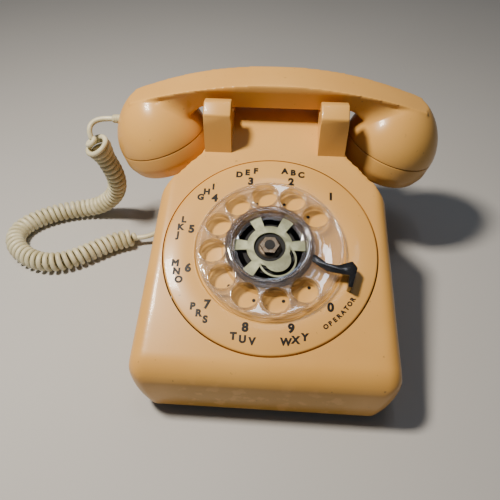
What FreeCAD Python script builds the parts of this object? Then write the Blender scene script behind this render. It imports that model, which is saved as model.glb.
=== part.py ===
import FreeCAD, Part
import math
import os
import re

import Sketcher

# Rotary desk telephone. Millimetres. +Z is up, the dial side faces -Y, and +X is the right-hand side
# as seen from the dial. The origin is the middle of the footprint, on the table.

V = FreeCAD.Vector
doc = FreeCAD.newDocument("rotary_desk_telephone")

# ---------------------------------------------------------------- driving dimensions
SIZES = {
    # housing
    "body_width": 152.0, "body_depth": 216.0, "rim_inset": 5.5, "top_inset": 8.0,
    "rim_height": 6.0, "waist_height": 34.0, "form_height": 112.0, "corner_round": 13.0,
    "wall": 2.6, "nose_round": 15.0,
    # cradle
    "cradle_back": 47.0, "neck_width": 92.0, "neck_reach": 31.0, "shoulder_run": 24.0,
    "shoulder_slant": 0.9, "scoop_floor": 54.0, "scoop_lean": 14.0, "saddle_height": 104.0,
    "seat_height": 111.6, "ear_height": 124.0, "ear_width": 17.3, "ear_gap": 56.0, "ear_slot": 31.0,
    "grip_margin": 2.0, "grip_floor": 74.0, "grip_top": 96.0, "grip_depth": 25.0,
    # dial
    "dial_y": -36.5, "dial_z": 69.7, "dial_tilt": 20.0, "ring_radius": 63.3, "ring_gap": 0.7,
    "ring_thick": 1.8, "ring_proud": 0.8, "ring_skirt": 6.0, "ring_recess_radius": 45.6,
    "ring_step_radius": 27.5, "ring_bore_radius": 19.0, "ring_recess": 1.5,
    "wheel_radius": 43.2, "wheel_thick": 2.0, "wheel_top": 5.5, "finger_pitch_radius": 33.5,
    "finger_hole_radius": 7.5, "finger_flange": 1.3, "finger_count": 10.0, "finger_span": 270.0,
    "hub_radius": 25.0,
    "hub_wall": 3.2, "hub_top": 8.5, "clamp_radius": 13.6, "clamp_thick": 1.2, "arm_reach": 20.5,
    "arm_width": 6.3, "nut_flats": 9.7, "nut_thick": 3.0, "shaft_radius": 3.0,
    "running_gap": 0.06, "drive_plate_radius": 16.0, "drive_plate_thick": 1.5,
    "frame_inset": 9.3, "frame_thick": 1.6, "frame_depth": 10.0, "bearing_radius": 6.0,
    "gear_module": 0.6, "main_teeth": 72.0, "pinion_teeth": 18.0, "gear_thick": 1.6,
    "train_module": 0.5, "train_teeth": 45.0, "governor_teeth": 15.0, "bridge_depth": 26.5,
    # base
    "plate_height": 6.5, "plate_thick": 1.2, "plate_gap": 0.6, "foot_radius": 10.0,
    "foot_side_inset": 20.0, "foot_end_inset": 17.0, "screw_x": 48.0, "screw_front_y": -60.0,
    "screw_rear_y": 78.0, "screw_radius": 1.9,
    "gong_radius": 27.0, "gong_x": 33.5, "gong_back": 42.0, "gong_floor": 26.0, "gong_depth": 12.0,
    "gong_wall": 1.4, "plunger_x": 36.6, "plunger_radius": 3.4,
    "plunger_length": 34.0, "loudness_radius": 16.0, "loudness_inset": 22.5, "loudness_y": 14.0,
    "pivot_height": 66.0, "pivot_radius": 1.5,
    "cord_inlet_y": 36.0, "cord_inlet_z": 14.0, "line_outlet_x": 40.0, "line_outlet_z": 16.0,
    "line_hole_radius": 2.6, "grommet_radius": 4.0,
    # handset
    "cup_gap": 2.5, "cup_z": 84.8, "cup_lean": 16.0, "cup_radius": 32.0, "cup_height": 35.2,
    "cup_wall": 3.0, "cap_depth": 20.5, "cap_round": 8.0, "cap_wall": 2.4, "thread_depth": 6.0,
    "thread_gap": 0.2, "handle_top": 130.4, "arch_radius": 272.0, "handle_width": 28.0,
    "handle_sole": 21.0, "handle_under": 112.6,
    # cord
    "cord_radius": 1.9, "coil_radius": 7.0,
}
# places that follow from the driving dimensions
WORKED_OUT = {
    "cradle_y": "=body_depth / 2 - cradle_back",
    "neck_foot_y": "=cradle_y - neck_reach",
    "gong_y": "=body_depth / 2 - gong_back",
    "foot_x": "=body_width / 2 - foot_side_inset",
    "foot_y": "=body_depth / 2 - foot_end_inset",
    "loudness_x": "=body_width / 2 - loudness_inset",
    "frame_radius": "=ring_radius - frame_inset",
    "cup_x": "=neck_width / 2 + cup_radius + cup_gap",
}
sheet = doc.addObject("Spreadsheet::Sheet", "Sizes")
for row, (name, value) in enumerate({**SIZES, **WORKED_OUT}.items(), 1):
    sheet.set(f"A{row}", name)
    sheet.set(f"B{row}", str(value))
    sheet.setAlias(f"B{row}", name)
    doc.recompute()


def size(name):
    return float(sheet.get(name))


def linked(text):
    """An expression in which every size name points at the sheet."""
    return re.sub(r"\b([a-z][a-z_0-9]*)\b(?!\()", r"Sizes.\1", str(text))


# ---------------------------------------------------------------- helpers
nodes = []


def keep(obj, label):
    obj.Label = label
    nodes.append(obj)
    return obj


def place(obj, x=0, y=0, z=0, turn=None):
    if turn:
        obj.Placement = FreeCAD.Placement(V(0, 0, 0), FreeCAD.Rotation(V(*turn[0]), turn[1]))
    for axis, text in zip("xyz", (x, y, z)):
        obj.setExpression(f"Placement.Base.{axis}", linked(text))
    return obj


def box(dx, dy, dz, x=0, y=0, z=0, turn=None):
    """A box centred on x and y, standing on z."""
    obj = doc.addObject("Part::Box", "block")
    obj.setExpression("Length", linked(dx))
    obj.setExpression("Width", linked(dy))
    obj.setExpression("Height", linked(dz))
    return place(obj, f"{x} - ({dx}) / 2", f"{y} - ({dy}) / 2", z, turn)


def rod(radius, length, x=0, y=0, z=0, turn=None):
    obj = doc.addObject("Part::Cylinder", "rod")
    obj.setExpression("Radius", linked(radius))
    obj.setExpression("Height", linked(length))
    return place(obj, x, y, z, turn)


def joined(parts):
    obj = doc.addObject("Part::MultiFuse", "joined")
    obj.Shapes = parts
    return obj


def cut(base, tools):
    obj = doc.addObject("Part::Cut", "cut")
    obj.Base = base
    obj.Tool = tools[0] if len(tools) == 1 else joined(tools)
    return obj


def group(parts):
    """Several separate solids that share one node."""
    obj = doc.addObject("Part::Compound", "group")
    obj.Links = parts
    return obj


def coded(shape, label=None):
    """A shape that is worked out in this script from the sheet's sizes."""
    obj = doc.addObject("Part::Feature", label or "shape")
    obj.Shape = shape
    return keep(obj, label) if label else obj


def plane(body, role):
    return next(part for part in body.Origin.OriginFeatures if part.Role == role)


def outline(body, role, corners, name="outline"):
    """A closed sketch whose corners are bound to the sheet, as (across, up) expressions."""
    sketch = body.newObject("Sketcher::SketchObject", name)
    sketch.AttachmentSupport = [(plane(body, role), "")]
    sketch.MapMode = "FlatFace"
    count = len(corners)
    ring = [(math.cos(2 * math.pi * k / count), math.sin(2 * math.pi * k / count)) for k in range(count)]
    for k in range(count):
        start, end = ring[k], ring[(k + 1) % count]
        sketch.addGeometry(Part.LineSegment(V(start[0], start[1], 0), V(end[0], end[1], 0)), False)
    for k in range(count):
        sketch.addConstraint(Sketcher.Constraint("Coincident", k, 2, (k + 1) % count, 1))
    for k, (across, up) in enumerate(corners):
        for kind, text in (("DistanceX", across), ("DistanceY", up)):
            at = sketch.addConstraint(Sketcher.Constraint(kind, -1, 1, k, 1, 1.0))
            sketch.setExpression(f"Constraints[{at}]", linked(text))
    return sketch


def turned(corners, label=None):
    """A body turned about +Z from (radius, height) corners."""
    body = doc.addObject("PartDesign::Body", label or "turned")
    sketch = outline(body, "XZ_Plane", corners)
    turn = body.newObject("PartDesign::Revolution", "revolve")
    turn.Profile = sketch
    turn.ReferenceAxis = (sketch, ["V_Axis"])
    turn.Angle = 360
    return keep(body, label) if label else body


def rounded(points):
    """A closed wire in a plane through corners of (point, radius); a radius of 0 leaves a corner."""
    edges = []
    starts = []
    count = len(points)
    for k, (point, radius) in enumerate(points):
        before = (points[k - 1][0] - point).normalize()
        after = (points[(k + 1) % count][0] - point).normalize()
        if radius <= 0:
            starts.append((point, None, point))
            continue
        half = before.getAngle(after) / 2
        back = radius / math.tan(half)
        middle = (before + after).normalize()
        reach = radius / math.sin(half) - radius
        starts.append((point + before * back, point + middle * reach, point + after * back))
    for k, (first, mid, last) in enumerate(starts):
        if mid:
            edges.append(Part.Arc(first, mid, last).toShape())
        following = starts[(k + 1) % count][0]
        if last.distanceToPoint(following) > 1e-6:
            edges.append(Part.LineSegment(last, following).toShape())
    return Part.Wire(edges)


def side_solid(points, width, left=None):
    """A side view of (y, z, radius) corners, made solid across the width."""
    left = -width / 2 if left is None else left
    wire = rounded([(V(left, y, z), radius) for y, z, radius in points])
    return Part.Face(wire).extrude(V(width, 0, 0))


def plan_solid(points, bottom, height):
    """A plan view of (x, y, radius) corners, made solid upwards."""
    wire = rounded([(V(x, y, bottom), radius) for x, y, radius in points])
    return Part.Face(wire).extrude(V(0, 0, height))


# ---------------------------------------------------------------- places worked out from the sizes
TILT = size("dial_tilt")
SLOPE = math.tan(math.radians(TILT))
DIAL = FreeCAD.Placement(V(0, size("dial_y"), size("dial_z")), FreeCAD.Rotation(V(1, 0, 0), TILT))


def slope_height(y):
    """The height of the sloping top face at y: it lies just under the number ring's face."""
    drop = size("ring_proud") / math.cos(math.radians(TILT))
    return size("dial_z") - drop + (y - size("dial_y")) * SLOPE


def on_dial(obj):
    """Turns a piece that was made round +Z to lie on the dial."""
    obj.Placement = DIAL.multiply(obj.Placement)
    return obj


def cup_place(side):
    lean = FreeCAD.Rotation(V(0, 1, 0), side * size("cup_lean"))
    return FreeCAD.Placement(V(side * size("cup_x"), size("cradle_y"), size("cup_z")), lean)


def on_cup(obj, side):
    obj.Placement = cup_place(side).multiply(obj.Placement)
    return obj


# ---------------------------------------------------------------- housing
def section(height, inset, front_inset, offset):
    half = size("body_width") / 2 - inset - offset
    deep = size("body_depth") / 2 - front_inset - offset
    round_off = max(size("corner_round") - offset, 2.0)
    corners = [(-half, -deep), (half, -deep), (half, deep), (-half, deep)]
    return rounded([(V(x, y, height), round_off) for x, y in corners])


def body_form(offset, floor):
    """The housing's block, made smaller by the offset on every side but its open floor."""
    rim, waist = size("rim_inset"), size("waist_height")
    levels = [
        (floor, rim, rim / 2),
        (floor + (waist - floor) / 2, rim * 0.28, rim * 0.14),
        (waist, 0.0, 0.0),
        (waist + 22.0, size("top_inset") * 0.3, 0.0),
        (size("form_height"), size("top_inset"), 0.0),
    ]
    walls = Part.makeLoft([section(at, inset, front, offset) for at, inset, front in levels], True, False)
    deep = size("body_depth") / 2 - offset
    lower = offset / math.cos(math.radians(TILT))
    saddle = size("saddle_height") - offset
    slope_top = size("dial_y") + (saddle + lower - slope_height(size("dial_y"))) / SLOPE
    back_ear = 2 * size("cradle_y") - size("neck_foot_y") + 2
    profile = [
        (-deep, floor - 9, 0),
        (-deep, slope_height(-deep) - lower, size("nose_round") - offset),
        (slope_top, saddle, 30),
        (back_ear - 13, saddle, 5),
        (back_ear - 1 - offset, saddle - 7.7, 4),
        (deep - 0.6, 52, 12),
        (deep, floor - 9, 0),
    ]
    form = walls.common(side_solid(profile, size("body_width") + 20))
    for side in (-1, 1):
        form = form.cut(scoop(side, offset))
    return form


def scoop(side, offset):
    """The space beside the neck in which a handset cup hangs."""
    neck = size("neck_width") / 2 - offset
    foot = size("neck_foot_y") - offset
    run = size("shoulder_run")
    far = size("body_width")
    slant = size("shoulder_slant")
    plan = [
        (side * neck, size("body_depth"), 0),
        (side * neck, foot, 3),
        (side * (neck + run), foot - run * slant, 0),
        (side * far, foot - (far - neck) * slant, 0),
        (side * far, size("body_depth"), 0),
    ]
    block = plan_solid(plan, size("scoop_floor") - offset - 20, 120)
    lean = FreeCAD.Rotation(V(0, 1, 0), side * size("scoop_lean"))
    floor = Part.makeBox(300, 600, 200, V(-150, -300, 0))
    floor.Placement = FreeCAD.Placement(V(side * neck, 0, size("scoop_floor") - offset), lean).multiply(
        floor.Placement)
    return block.common(floor)


def ear_pair(side):
    """The front and rear ears on one side, with the seat that the handset rests on between them."""
    foot = size("neck_foot_y") - 2
    middle = size("cradle_y")
    slot = size("ear_slot") / 2
    top = size("ear_height")
    half = [
        (foot, slope_height(foot) - 6, 0),
        (foot + 1.5, top - 5.5, 2),
        (foot + 9, top, 2),
        (middle - slot - 1.5, top - 1.5, 2),
        (middle - slot, size("seat_height"), 1),
    ]
    mirrored = [(2 * middle - y, z, radius) for y, z, radius in reversed(half)]
    left = side * (size("ear_gap") / 2 + size("ear_width") / 2) - size("ear_width") / 2
    return side_solid(half + mirrored, size("ear_width"), left)


def housing_shape():
    wall = size("wall")
    rim = size("rim_height")
    shell = body_form(0, rim).cut(body_form(wall, rim - 1))
    for side in (-1, 1):
        under_neck = Part.makeBox(300, 300, 60, V(-150, size("neck_foot_y") + 4, 30))
        shell = shell.fuse(ear_pair(side).cut(under_neck))
    behind = size("body_depth")
    grip_front = size("body_depth") / 2 - size("grip_depth")
    grip_low, grip_high = size("grip_floor"), size("grip_top")
    grip_width = size("ear_gap") - 2 * size("grip_margin")
    grip = side_solid([(grip_front, grip_low, 6), (grip_front, grip_high, 5), (behind, grip_high, 0),
                       (behind, grip_low - 8, 0)], grip_width)
    lining = side_solid([(grip_front - wall, grip_low - wall, 6), (grip_front - wall, grip_high + wall, 5),
                         (behind, grip_high + wall, 0), (behind, grip_low - 8 - wall, 0)],
                        grip_width + 2 * wall)
    shell = shell.fuse(lining.common(body_form(0, rim))).cut(grip)
    opening = Part.makeCylinder(size("ring_radius") + size("ring_gap"), 60, V(0, 0, -30))
    opening.Placement = DIAL
    shell = shell.cut(opening)
    for side in (-1, 1):
        hole = Part.makeCylinder(size("plunger_radius") + size("running_gap"), 60,
                                 V(side * size("plunger_x"), size("cradle_y"), 70))
        shell = shell.cut(hole)
    inlet = Part.makeCylinder(size("grommet_radius"), 40, V(0, 0, 0), V(-1, 0, 0))
    inlet.translate(V(26 - size("body_width") / 2, size("cord_inlet_y"), size("cord_inlet_z")))
    outlet = Part.makeCylinder(size("grommet_radius"), 40, V(0, 0, 0), V(0, 1, 0))
    outlet.translate(V(size("line_outlet_x"), size("body_depth") / 2 - 18, size("line_outlet_z")))
    return shell.cut(inlet).cut(outlet).removeSplitter()


coded(housing_shape(), "housing")

# ---------------------------------------------------------------- base plate, feet and screws
plate_wire = section(0, size("rim_inset"), size("rim_inset") / 2, size("wall") + size("plate_gap"))
base_sheet = coded(Part.Face(plate_wire).extrude(V(0, 0, size("plate_thick"))))
place(base_sheet, 0, 0, "plate_height")
screw_spots = [(sx, sy) for sx in ("-screw_x", "screw_x") for sy in ("screw_front_y", "screw_rear_y")]
base_holes = [rod("screw_radius + 0.1", 10, sx, sy, 0) for sx, sy in screw_spots]
base_holes.append(rod("2.5 + running_gap", 10, "loudness_x", "loudness_y", 0))
keep(cut(base_sheet, base_holes), "base_plate")

feet = []
for foot_x in ("-foot_x", "foot_x"):
    for foot_y in ("-foot_y", "foot_y"):
        foot = turned([("0", "0"), ("foot_radius - 1.5", "0"), ("foot_radius", "1.5"),
                       ("foot_radius", "rim_height - 0.3"), ("foot_radius - 4", "rim_height - 0.3"),
                       ("foot_radius - 4", "plate_height"), ("0", "plate_height")])
        feet.append(place(foot, foot_x, foot_y, 0))
keep(group(feet), "rubber_feet")

screws = []
for sx, sy in screw_spots:
    screw = turned([("0", "4.6"), ("screw_radius + 1.7", "4.6"), ("screw_radius + 1.7", "plate_height"),
                    ("screw_radius", "plate_height"), ("screw_radius", "15"), ("0", "15")])
    screws.append(place(screw, sx, sy, 0))
keep(group(screws), "housing_screws")

# ---------------------------------------------------------------- loudness wheel under the base
turned([("2.5 + running_gap", "1.5"), ("loudness_radius - 0.8", "1.5"), ("loudness_radius", "2.3"),
        ("loudness_radius", "5.1"), ("loudness_radius - 0.8", "5.9"), ("2.5 + running_gap", "5.9")],
       "loudness_wheel")
place(nodes[-1], "loudness_x", "loudness_y", 0)
turned([("0", "0.6"), ("4.5", "0.6"), ("4.5", "1.4"), ("2.5", "1.4"), ("2.5", "10.5"), ("0", "10.5")],
       "loudness_axle")
place(nodes[-1], "loudness_x", "loudness_y", 0)

# ---------------------------------------------------------------- ringer
gong_corners = [
    ("3.2", "gong_floor + gong_depth - gong_wall"),
    ("gong_radius - 9", "gong_floor + gong_depth - gong_wall"),
    ("gong_radius - 3.4", "gong_floor + gong_depth - 4.6"), ("gong_radius - gong_wall", "gong_floor"),
    ("gong_radius", "gong_floor"), ("gong_radius - 2.4", "gong_floor + gong_depth - 4"),
    ("gong_radius - 8.4", "gong_floor + gong_depth"), ("3.2", "gong_floor + gong_depth"),
]
for side, label in (("-", "gong_left"), ("", "gong_right")):
    turned(gong_corners, label)
    place(nodes[-1], f"{side}gong_x", "gong_y", 0)
posts = []
for side in ("-", ""):
    post = turned([("0", "plate_height + plate_thick"), ("4", "plate_height + plate_thick"),
                   ("4", "gong_floor + gong_depth - gong_wall"), ("3", "gong_floor + gong_depth - gong_wall"),
                   ("3", "gong_floor + gong_depth"), ("5.5", "gong_floor + gong_depth"),
                   ("5.5", "gong_floor + gong_depth + 1.6"), ("0", "gong_floor + gong_depth + 1.6")])
    posts.append(place(post, f"{side}gong_x", "gong_y", 0))
keep(group(posts), "gong_posts")
floor_z = "plate_height + plate_thick"
keep(joined([box(16, 44, 1.6, 0, "gong_y", floor_z),
             box(16, 2.4, 16, 0, "gong_y - 20.8", floor_z),
             box(16, 2.4, 30, 0, "gong_y + 20.8", floor_z)]), "ringer_frame")
coil = rod("6.5", "37.6", 0, "gong_y - 18.8", "plate_height + plate_thick + 8.6", ((1, 0, 0), -90))
keep(coil, "ringer_coil")
clapper_arm = rod("0.9", "24", 0, "gong_y - 5", "gong_floor + 7", ((1, 0, 0), -90))
clapper_ball = rod("3.6", "6", 0, "gong_y - 8", "gong_floor + 4")
clapper_hub = rod("3.2", "7", 0, "gong_y + 14.6", "gong_floor + 3.5")
clapper_bore = rod("1.2 + running_gap", "9", 0, "gong_y + 14.6", "gong_floor + 2.5")
keep(cut(joined([clapper_arm, clapper_ball, clapper_hub]), [clapper_bore]), "clapper")
keep(joined([rod("1.2", "13.5", 0, "gong_y + 14.6", "gong_floor"),
             box(4, 7, 1.6, 0, "gong_y + 17.2", "gong_floor + 12.5")]), "clapper_pivot")

# ---------------------------------------------------------------- network box, beside the hook switch
keep(box(50, 34, 24, 14, -2, floor_z), "network_box")
terminals = []
for col in range(6):
    for line in range(2):
        terminal = turned([("0", "0"), ("2.2", "0"), ("2.2", "1.6"), ("0", "1.6")])
        terminals.append(place(terminal, f"{-5 + 7.6 * col}", f"{-9 + 13 * line}", f"{floor_z} + 24"))
keep(group(terminals), "network_terminals")

# ---------------------------------------------------------------- hook switch
pivot_y, pivot_z = "neck_foot_y + 2", "pivot_height"
cheek_x = "(neck_width / 2 - wall - 2.2)"
bracket = joined([box(2.4, 10, 62, f"-{cheek_x}", pivot_y, floor_z),
                  box(2.4, 10, 62, cheek_x, pivot_y, floor_z),
                  box(f"2 * {cheek_x}", 10, 1.6, 0, pivot_y, floor_z),
                  box(f"2 * {cheek_x}", 1.6, 14, 0, f"{pivot_y} + 4.2", f"{floor_z} + 34")])
pin_length = f"(2 * {cheek_x} + 2.4)"
along_x = ((0, 1, 0), 90)
pin_hole = rod("pivot_radius", f"{pin_length} + 10", f"-{pin_length} / 2 - 5", pivot_y, pivot_z, along_x)
keep(cut(bracket, [pin_hole]), "hook_bracket")
keep(rod("pivot_radius", pin_length, f"-{pin_length} / 2", pivot_y, pivot_z, along_x), "hook_pivot_pin")
plunger_foot = "seat_height + 0.6 - plunger_length"
arms = []
for side in ("-", ""):
    arms.append(box(4, "cradle_y - neck_foot_y + 4", 2.4, f"{side}plunger_x",
                    "(cradle_y + neck_foot_y) / 2 + 2", f"{plunger_foot} - 2.7"))
    arms.append(box(4, 4, f"{plunger_foot} - 2.7 - {pivot_z} + 3.5", f"{side}plunger_x", pivot_y,
                    f"{pivot_z} - 3.5"))
cross = box("2 * plunger_x", 3, 2.4, 0, "cradle_y - 8", f"{plunger_foot} - 2.7")
sleeve = rod("pivot_radius + 1.9", "2 * plunger_x + 4", "-plunger_x - 2", pivot_y, pivot_z, along_x)
lever_bore = rod("pivot_radius + running_gap", "2 * plunger_x + 20", "-plunger_x - 10", pivot_y, pivot_z,
                 along_x)
keep(cut(joined(arms + [cross, sleeve]), [lever_bore]), "hook_lever")
for side, label in (("-", "plunger_left"), ("", "plunger_right")):
    turned([("0", plunger_foot), ("plunger_radius", plunger_foot), ("plunger_radius", "seat_height - 0.6"),
            ("plunger_radius - 1.2", "seat_height + 0.6"), ("0", "seat_height + 0.6")], label)
    place(nodes[-1], f"{side}plunger_x", "cradle_y", 0)
leaves = [box(7, 12, 9, 20, f"{pivot_y} - 4.5", f"{floor_z} + 37")]
for leaf in range(5):
    leaves.append(box(5, 26, 0.4, 20, f"{pivot_y} - 19", f"{floor_z} + {38 + leaf * 1.7}"))
keep(joined(leaves), "contact_pile")

# ---------------------------------------------------------------- cord inlet and line outlet
grommet = turned([("0", "-6.8"), ("grommet_radius + 1.2", "-6.8"), ("grommet_radius + 1.2", "-5.2"),
                  ("grommet_radius", "-5.2"), ("grommet_radius", "1.5"), ("grommet_radius - 1.6", "4"),
                  ("0", "4")])
grommet.Placement = FreeCAD.Placement(V(0, 0, 0), FreeCAD.Rotation(V(0, 1, 0), -90))
inlet_x = "-(body_width / 2 - rim_inset * 0.62 + 0.6)"
place(grommet, inlet_x, "cord_inlet_y", "cord_inlet_z")
grommet.Placement.Rotation = FreeCAD.Rotation(V(0, 1, 0), -90)
keep(grommet, "handset_cord_grommet")
ring = turned([("line_hole_radius", "-6.8"), ("grommet_radius + 1.2", "-6.8"),
               ("grommet_radius + 1.2", "-5.2"), ("grommet_radius", "-5.2"),
               ("grommet_radius", "0.8"), ("grommet_radius - 0.6", "1.4"),
               ("line_hole_radius", "1.4")])
ring.Placement = FreeCAD.Placement(V(0, 0, 0), FreeCAD.Rotation(V(1, 0, 0), -90))
place(ring, "line_outlet_x", "body_depth / 2 - rim_inset * 0.22", "line_outlet_z")
keep(ring, "line_cord_grommet")

# ---------------------------------------------------------------- number ring
skirt = "ring_radius - 2.2"
ring_body = turned([
    ("ring_bore_radius", "-ring_thick"), ("ring_step_radius + 1.5", "-ring_thick"),
    ("ring_step_radius + 2.5", "-ring_thick - ring_recess"),
    ("ring_recess_radius + 1.5", "-ring_thick - ring_recess"), ("ring_recess_radius + 2.5", "-ring_thick"),
    (skirt, "-ring_thick"), (skirt, "-ring_skirt"), ("ring_radius", "-ring_skirt"),
    ("ring_radius", "-0.7"), ("ring_radius - 0.7", "0"), ("ring_recess_radius + 1", "0"),
    ("ring_recess_radius", "-ring_recess"), ("ring_step_radius + 1", "-ring_recess"),
    ("ring_step_radius", "0"), ("ring_bore_radius", "0"),
], "number_ring")
on_dial(ring_body)

# ---------------------------------------------------------------- finger wheel
wheel = turned([
    ("clamp_radius", "1"), ("hub_radius", "1"), ("hub_radius", "wheel_top - wheel_thick"),
    ("wheel_radius - 1.6", "wheel_top - wheel_thick"), ("wheel_radius - 1.6", "2.4"),
    ("wheel_radius", "2.4"), ("wheel_radius", "wheel_top - 0.7"), ("wheel_radius - 0.7", "wheel_top"),
    ("hub_radius", "wheel_top"), ("hub_radius - 0.5", "hub_top"), ("hub_radius - hub_wall + 0.5", "hub_top"),
    ("hub_radius - hub_wall", "2.4"), ("clamp_radius", "2.4"),
], "finger_wheel")
FIRST_HOLE = 38.0


def ring_feature(body, kind, name, radius, level, length):
    """A round boss or hole at the first finger hole, repeated round the wheel."""
    sketch = body.newObject("Sketcher::SketchObject", name + "_sketch")
    sketch.AttachmentSupport = [(plane(body, "XY_Plane"), "")]
    sketch.MapMode = "FlatFace"
    sketch.setExpression("AttachmentOffset.Base.z", linked(level))
    angle = math.radians(FIRST_HOLE)
    at = V(math.cos(angle), math.sin(angle), 0) * size("finger_pitch_radius")
    index = sketch.addGeometry(Part.Circle(at, V(0, 0, 1), size("finger_hole_radius")), False)
    number = sketch.addConstraint(Sketcher.Constraint("Radius", index, 5.0))
    sketch.setExpression(f"Constraints[{number}]", linked(radius))
    for direction, text in (("DistanceX", f"finger_pitch_radius * cos({FIRST_HOLE} deg)"),
                            ("DistanceY", f"finger_pitch_radius * sin({FIRST_HOLE} deg)")):
        number = sketch.addConstraint(Sketcher.Constraint(direction, -1, 1, index, 3, 1.0))
        sketch.setExpression(f"Constraints[{number}]", linked(text).replace("Sizes.deg", "deg"))
    feature = body.newObject(kind, name)
    feature.Profile = sketch
    feature.setExpression("Length", linked(length))
    feature.Reversed = False
    pattern = body.newObject("PartDesign::PolarPattern", name + "_ring")
    pattern.Originals = [feature]
    pattern.Axis = (plane(body, "Z_Axis"), [""])
    pattern.setExpression("Angle", linked("finger_span"))
    pattern.Occurrences = int(size("finger_count"))
    body.Tip = pattern
    doc.recompute()
    return pattern


ring_feature(wheel, "PartDesign::Pad", "flange", "finger_hole_radius + finger_flange",
             "wheel_top - wheel_thick - 0.4", "wheel_thick + 1")
ring_feature(wheel, "PartDesign::Pocket", "finger_hole", "finger_hole_radius", "hub_top", "hub_top + 4")
on_dial(wheel)

# ---------------------------------------------------------------- what holds the wheel on its shaft
arm_angles = (5, 60, 118, 178, 235)
clamp = [rod("clamp_radius", "clamp_thick", 0, 0, "2.4")]
for angle in arm_angles:
    arm = doc.addObject("Part::Box", "arm")
    arm.setExpression("Length", linked("arm_reach - 5"))
    arm.setExpression("Width", linked("arm_width"))
    arm.setExpression("Height", linked("clamp_thick"))
    turn = FreeCAD.Placement(V(0, 0, 0), FreeCAD.Rotation(V(0, 0, 1), angle))
    arm.Placement = turn.multiply(FreeCAD.Placement(V(5, -size("arm_width") / 2, 2.4), FreeCAD.Rotation()))
    clamp.append(arm)
tab_angle = math.radians(300)
clamp.append(rod("7", "clamp_thick", 12.5 * math.cos(tab_angle), 12.5 * math.sin(tab_angle), "2.4"))
slot = cut(rod("4.6", "4", 13.5 * math.cos(tab_angle), 13.5 * math.sin(tab_angle), "1"),
           [rod("3.4", "6", 12.0 * math.cos(tab_angle), 12.0 * math.sin(tab_angle), "0")])
clamp_bore = rod("shaft_radius + 0.02", "6", 0, 0, "0")
on_dial(keep(cut(joined(clamp), [slot, clamp_bore]), "wheel_clamp"))
spring_start, spring_end = math.radians(268), math.radians(332)
spring_edge = [Part.Arc(*[V(r * math.cos(a), r * math.sin(a), 0) for a in
                          (spring_start, (spring_start + spring_end) / 2, spring_end)]) for r in (20.3, 21.0)]
ends = [[edge.StartPoint, edge.EndPoint] for edge in spring_edge]
strip = Part.Wire([spring_edge[0].toShape(), Part.LineSegment(ends[0][1], ends[1][1]).toShape(),
                   spring_edge[1].toShape(), Part.LineSegment(ends[1][0], ends[0][0]).toShape()])
spring = Part.Face(strip).extrude(V(0, 0, 2.2))
spring.translate(V(0, 0, 2.5))
on_dial(coded(spring, "clamp_spring"))
hexagon = Part.makePolygon([V(math.cos(math.radians(a)), math.sin(math.radians(a)), 0)
                            * (size("nut_flats") / math.sqrt(3)) for a in range(0, 361, 60)])
nut = Part.Face(hexagon).extrude(V(0, 0, size("nut_thick")))
nut.translate(V(0, 0, 2.4 + size("clamp_thick")))
nut_blank = coded(nut)
on_dial(keep(cut(nut_blank, [rod("shaft_radius + 0.02", "12", 0, 0, "0")]), "centre_nut"))
on_dial(turned([
    ("0", "-bridge_depth - 1.5"), ("shaft_radius", "-bridge_depth - 1.5"),
    ("shaft_radius", "1 - drive_plate_thick"),
    ("drive_plate_radius", "1 - drive_plate_thick"), ("drive_plate_radius", "1"), ("clamp_radius - 0.1", "1"),
    ("clamp_radius - 0.1", "2.4"), ("shaft_radius", "2.4"), ("shaft_radius", "7"), ("0", "7"),
], "dial_shaft"))

# ---------------------------------------------------------------- dial frame
frame_z = "-frame_depth"
frame_parts = [rod("frame_radius", "frame_thick", 0, 0, frame_z),
               rod("bearing_radius", "frame_depth + 2", 0, 0, f"{frame_z} - 4")]
for angle in (30, 150, 270):
    away = f"(frame_radius - 3) * cos({angle})"
    across = f"(frame_radius - 3) * sin({angle})"
    frame_parts.append(rod("2.6", "frame_depth - ring_thick", away, across, frame_z))
GEAR_SIDE = 120.0
train_distance = size("gear_module") * (size("main_teeth") + size("pinion_teeth")) / 2
pulse_at = V(math.cos(math.radians(GEAR_SIDE)), math.sin(math.radians(GEAR_SIDE)), 0) * train_distance
GOVERNOR_SIDE = 200.0
governor_distance = size("train_module") * (size("train_teeth") + size("governor_teeth")) / 2
governor_at = pulse_at + V(math.cos(math.radians(GOVERNOR_SIDE)), math.sin(math.radians(GOVERNOR_SIDE)),
                           0) * governor_distance
frame_parts += [rod("2.2", "bridge_depth - frame_depth", 30, 14, "-bridge_depth"),
                rod("2.2", "bridge_depth - frame_depth", -34, -10, "-bridge_depth")]
frame_holes = [rod("shaft_radius + running_gap", "60", 0, 0, "-40")]
for at in (pulse_at, governor_at):
    frame_holes.append(rod("1.5 + running_gap", "60", at.x, at.y, "-40"))
on_dial(keep(cut(joined(frame_parts), frame_holes), "dial_frame"))
bridge_points = [(34, 18, 4), (-4, 34, 4), (-40, 24, 4), (-39, -14, 4), (6, -8, 4)]
bridge = plan_solid(bridge_points, -size("bridge_depth") - 1.2, 1.2)
for at, radius in ((V(0, 0, 0), size("shaft_radius")), (pulse_at, 1.5), (governor_at, 1.5)):
    bridge = bridge.cut(Part.makeCylinder(radius + size("running_gap"), 80, V(at.x, at.y, -60)))
on_dial(coded(bridge, "gear_bridge"))


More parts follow.
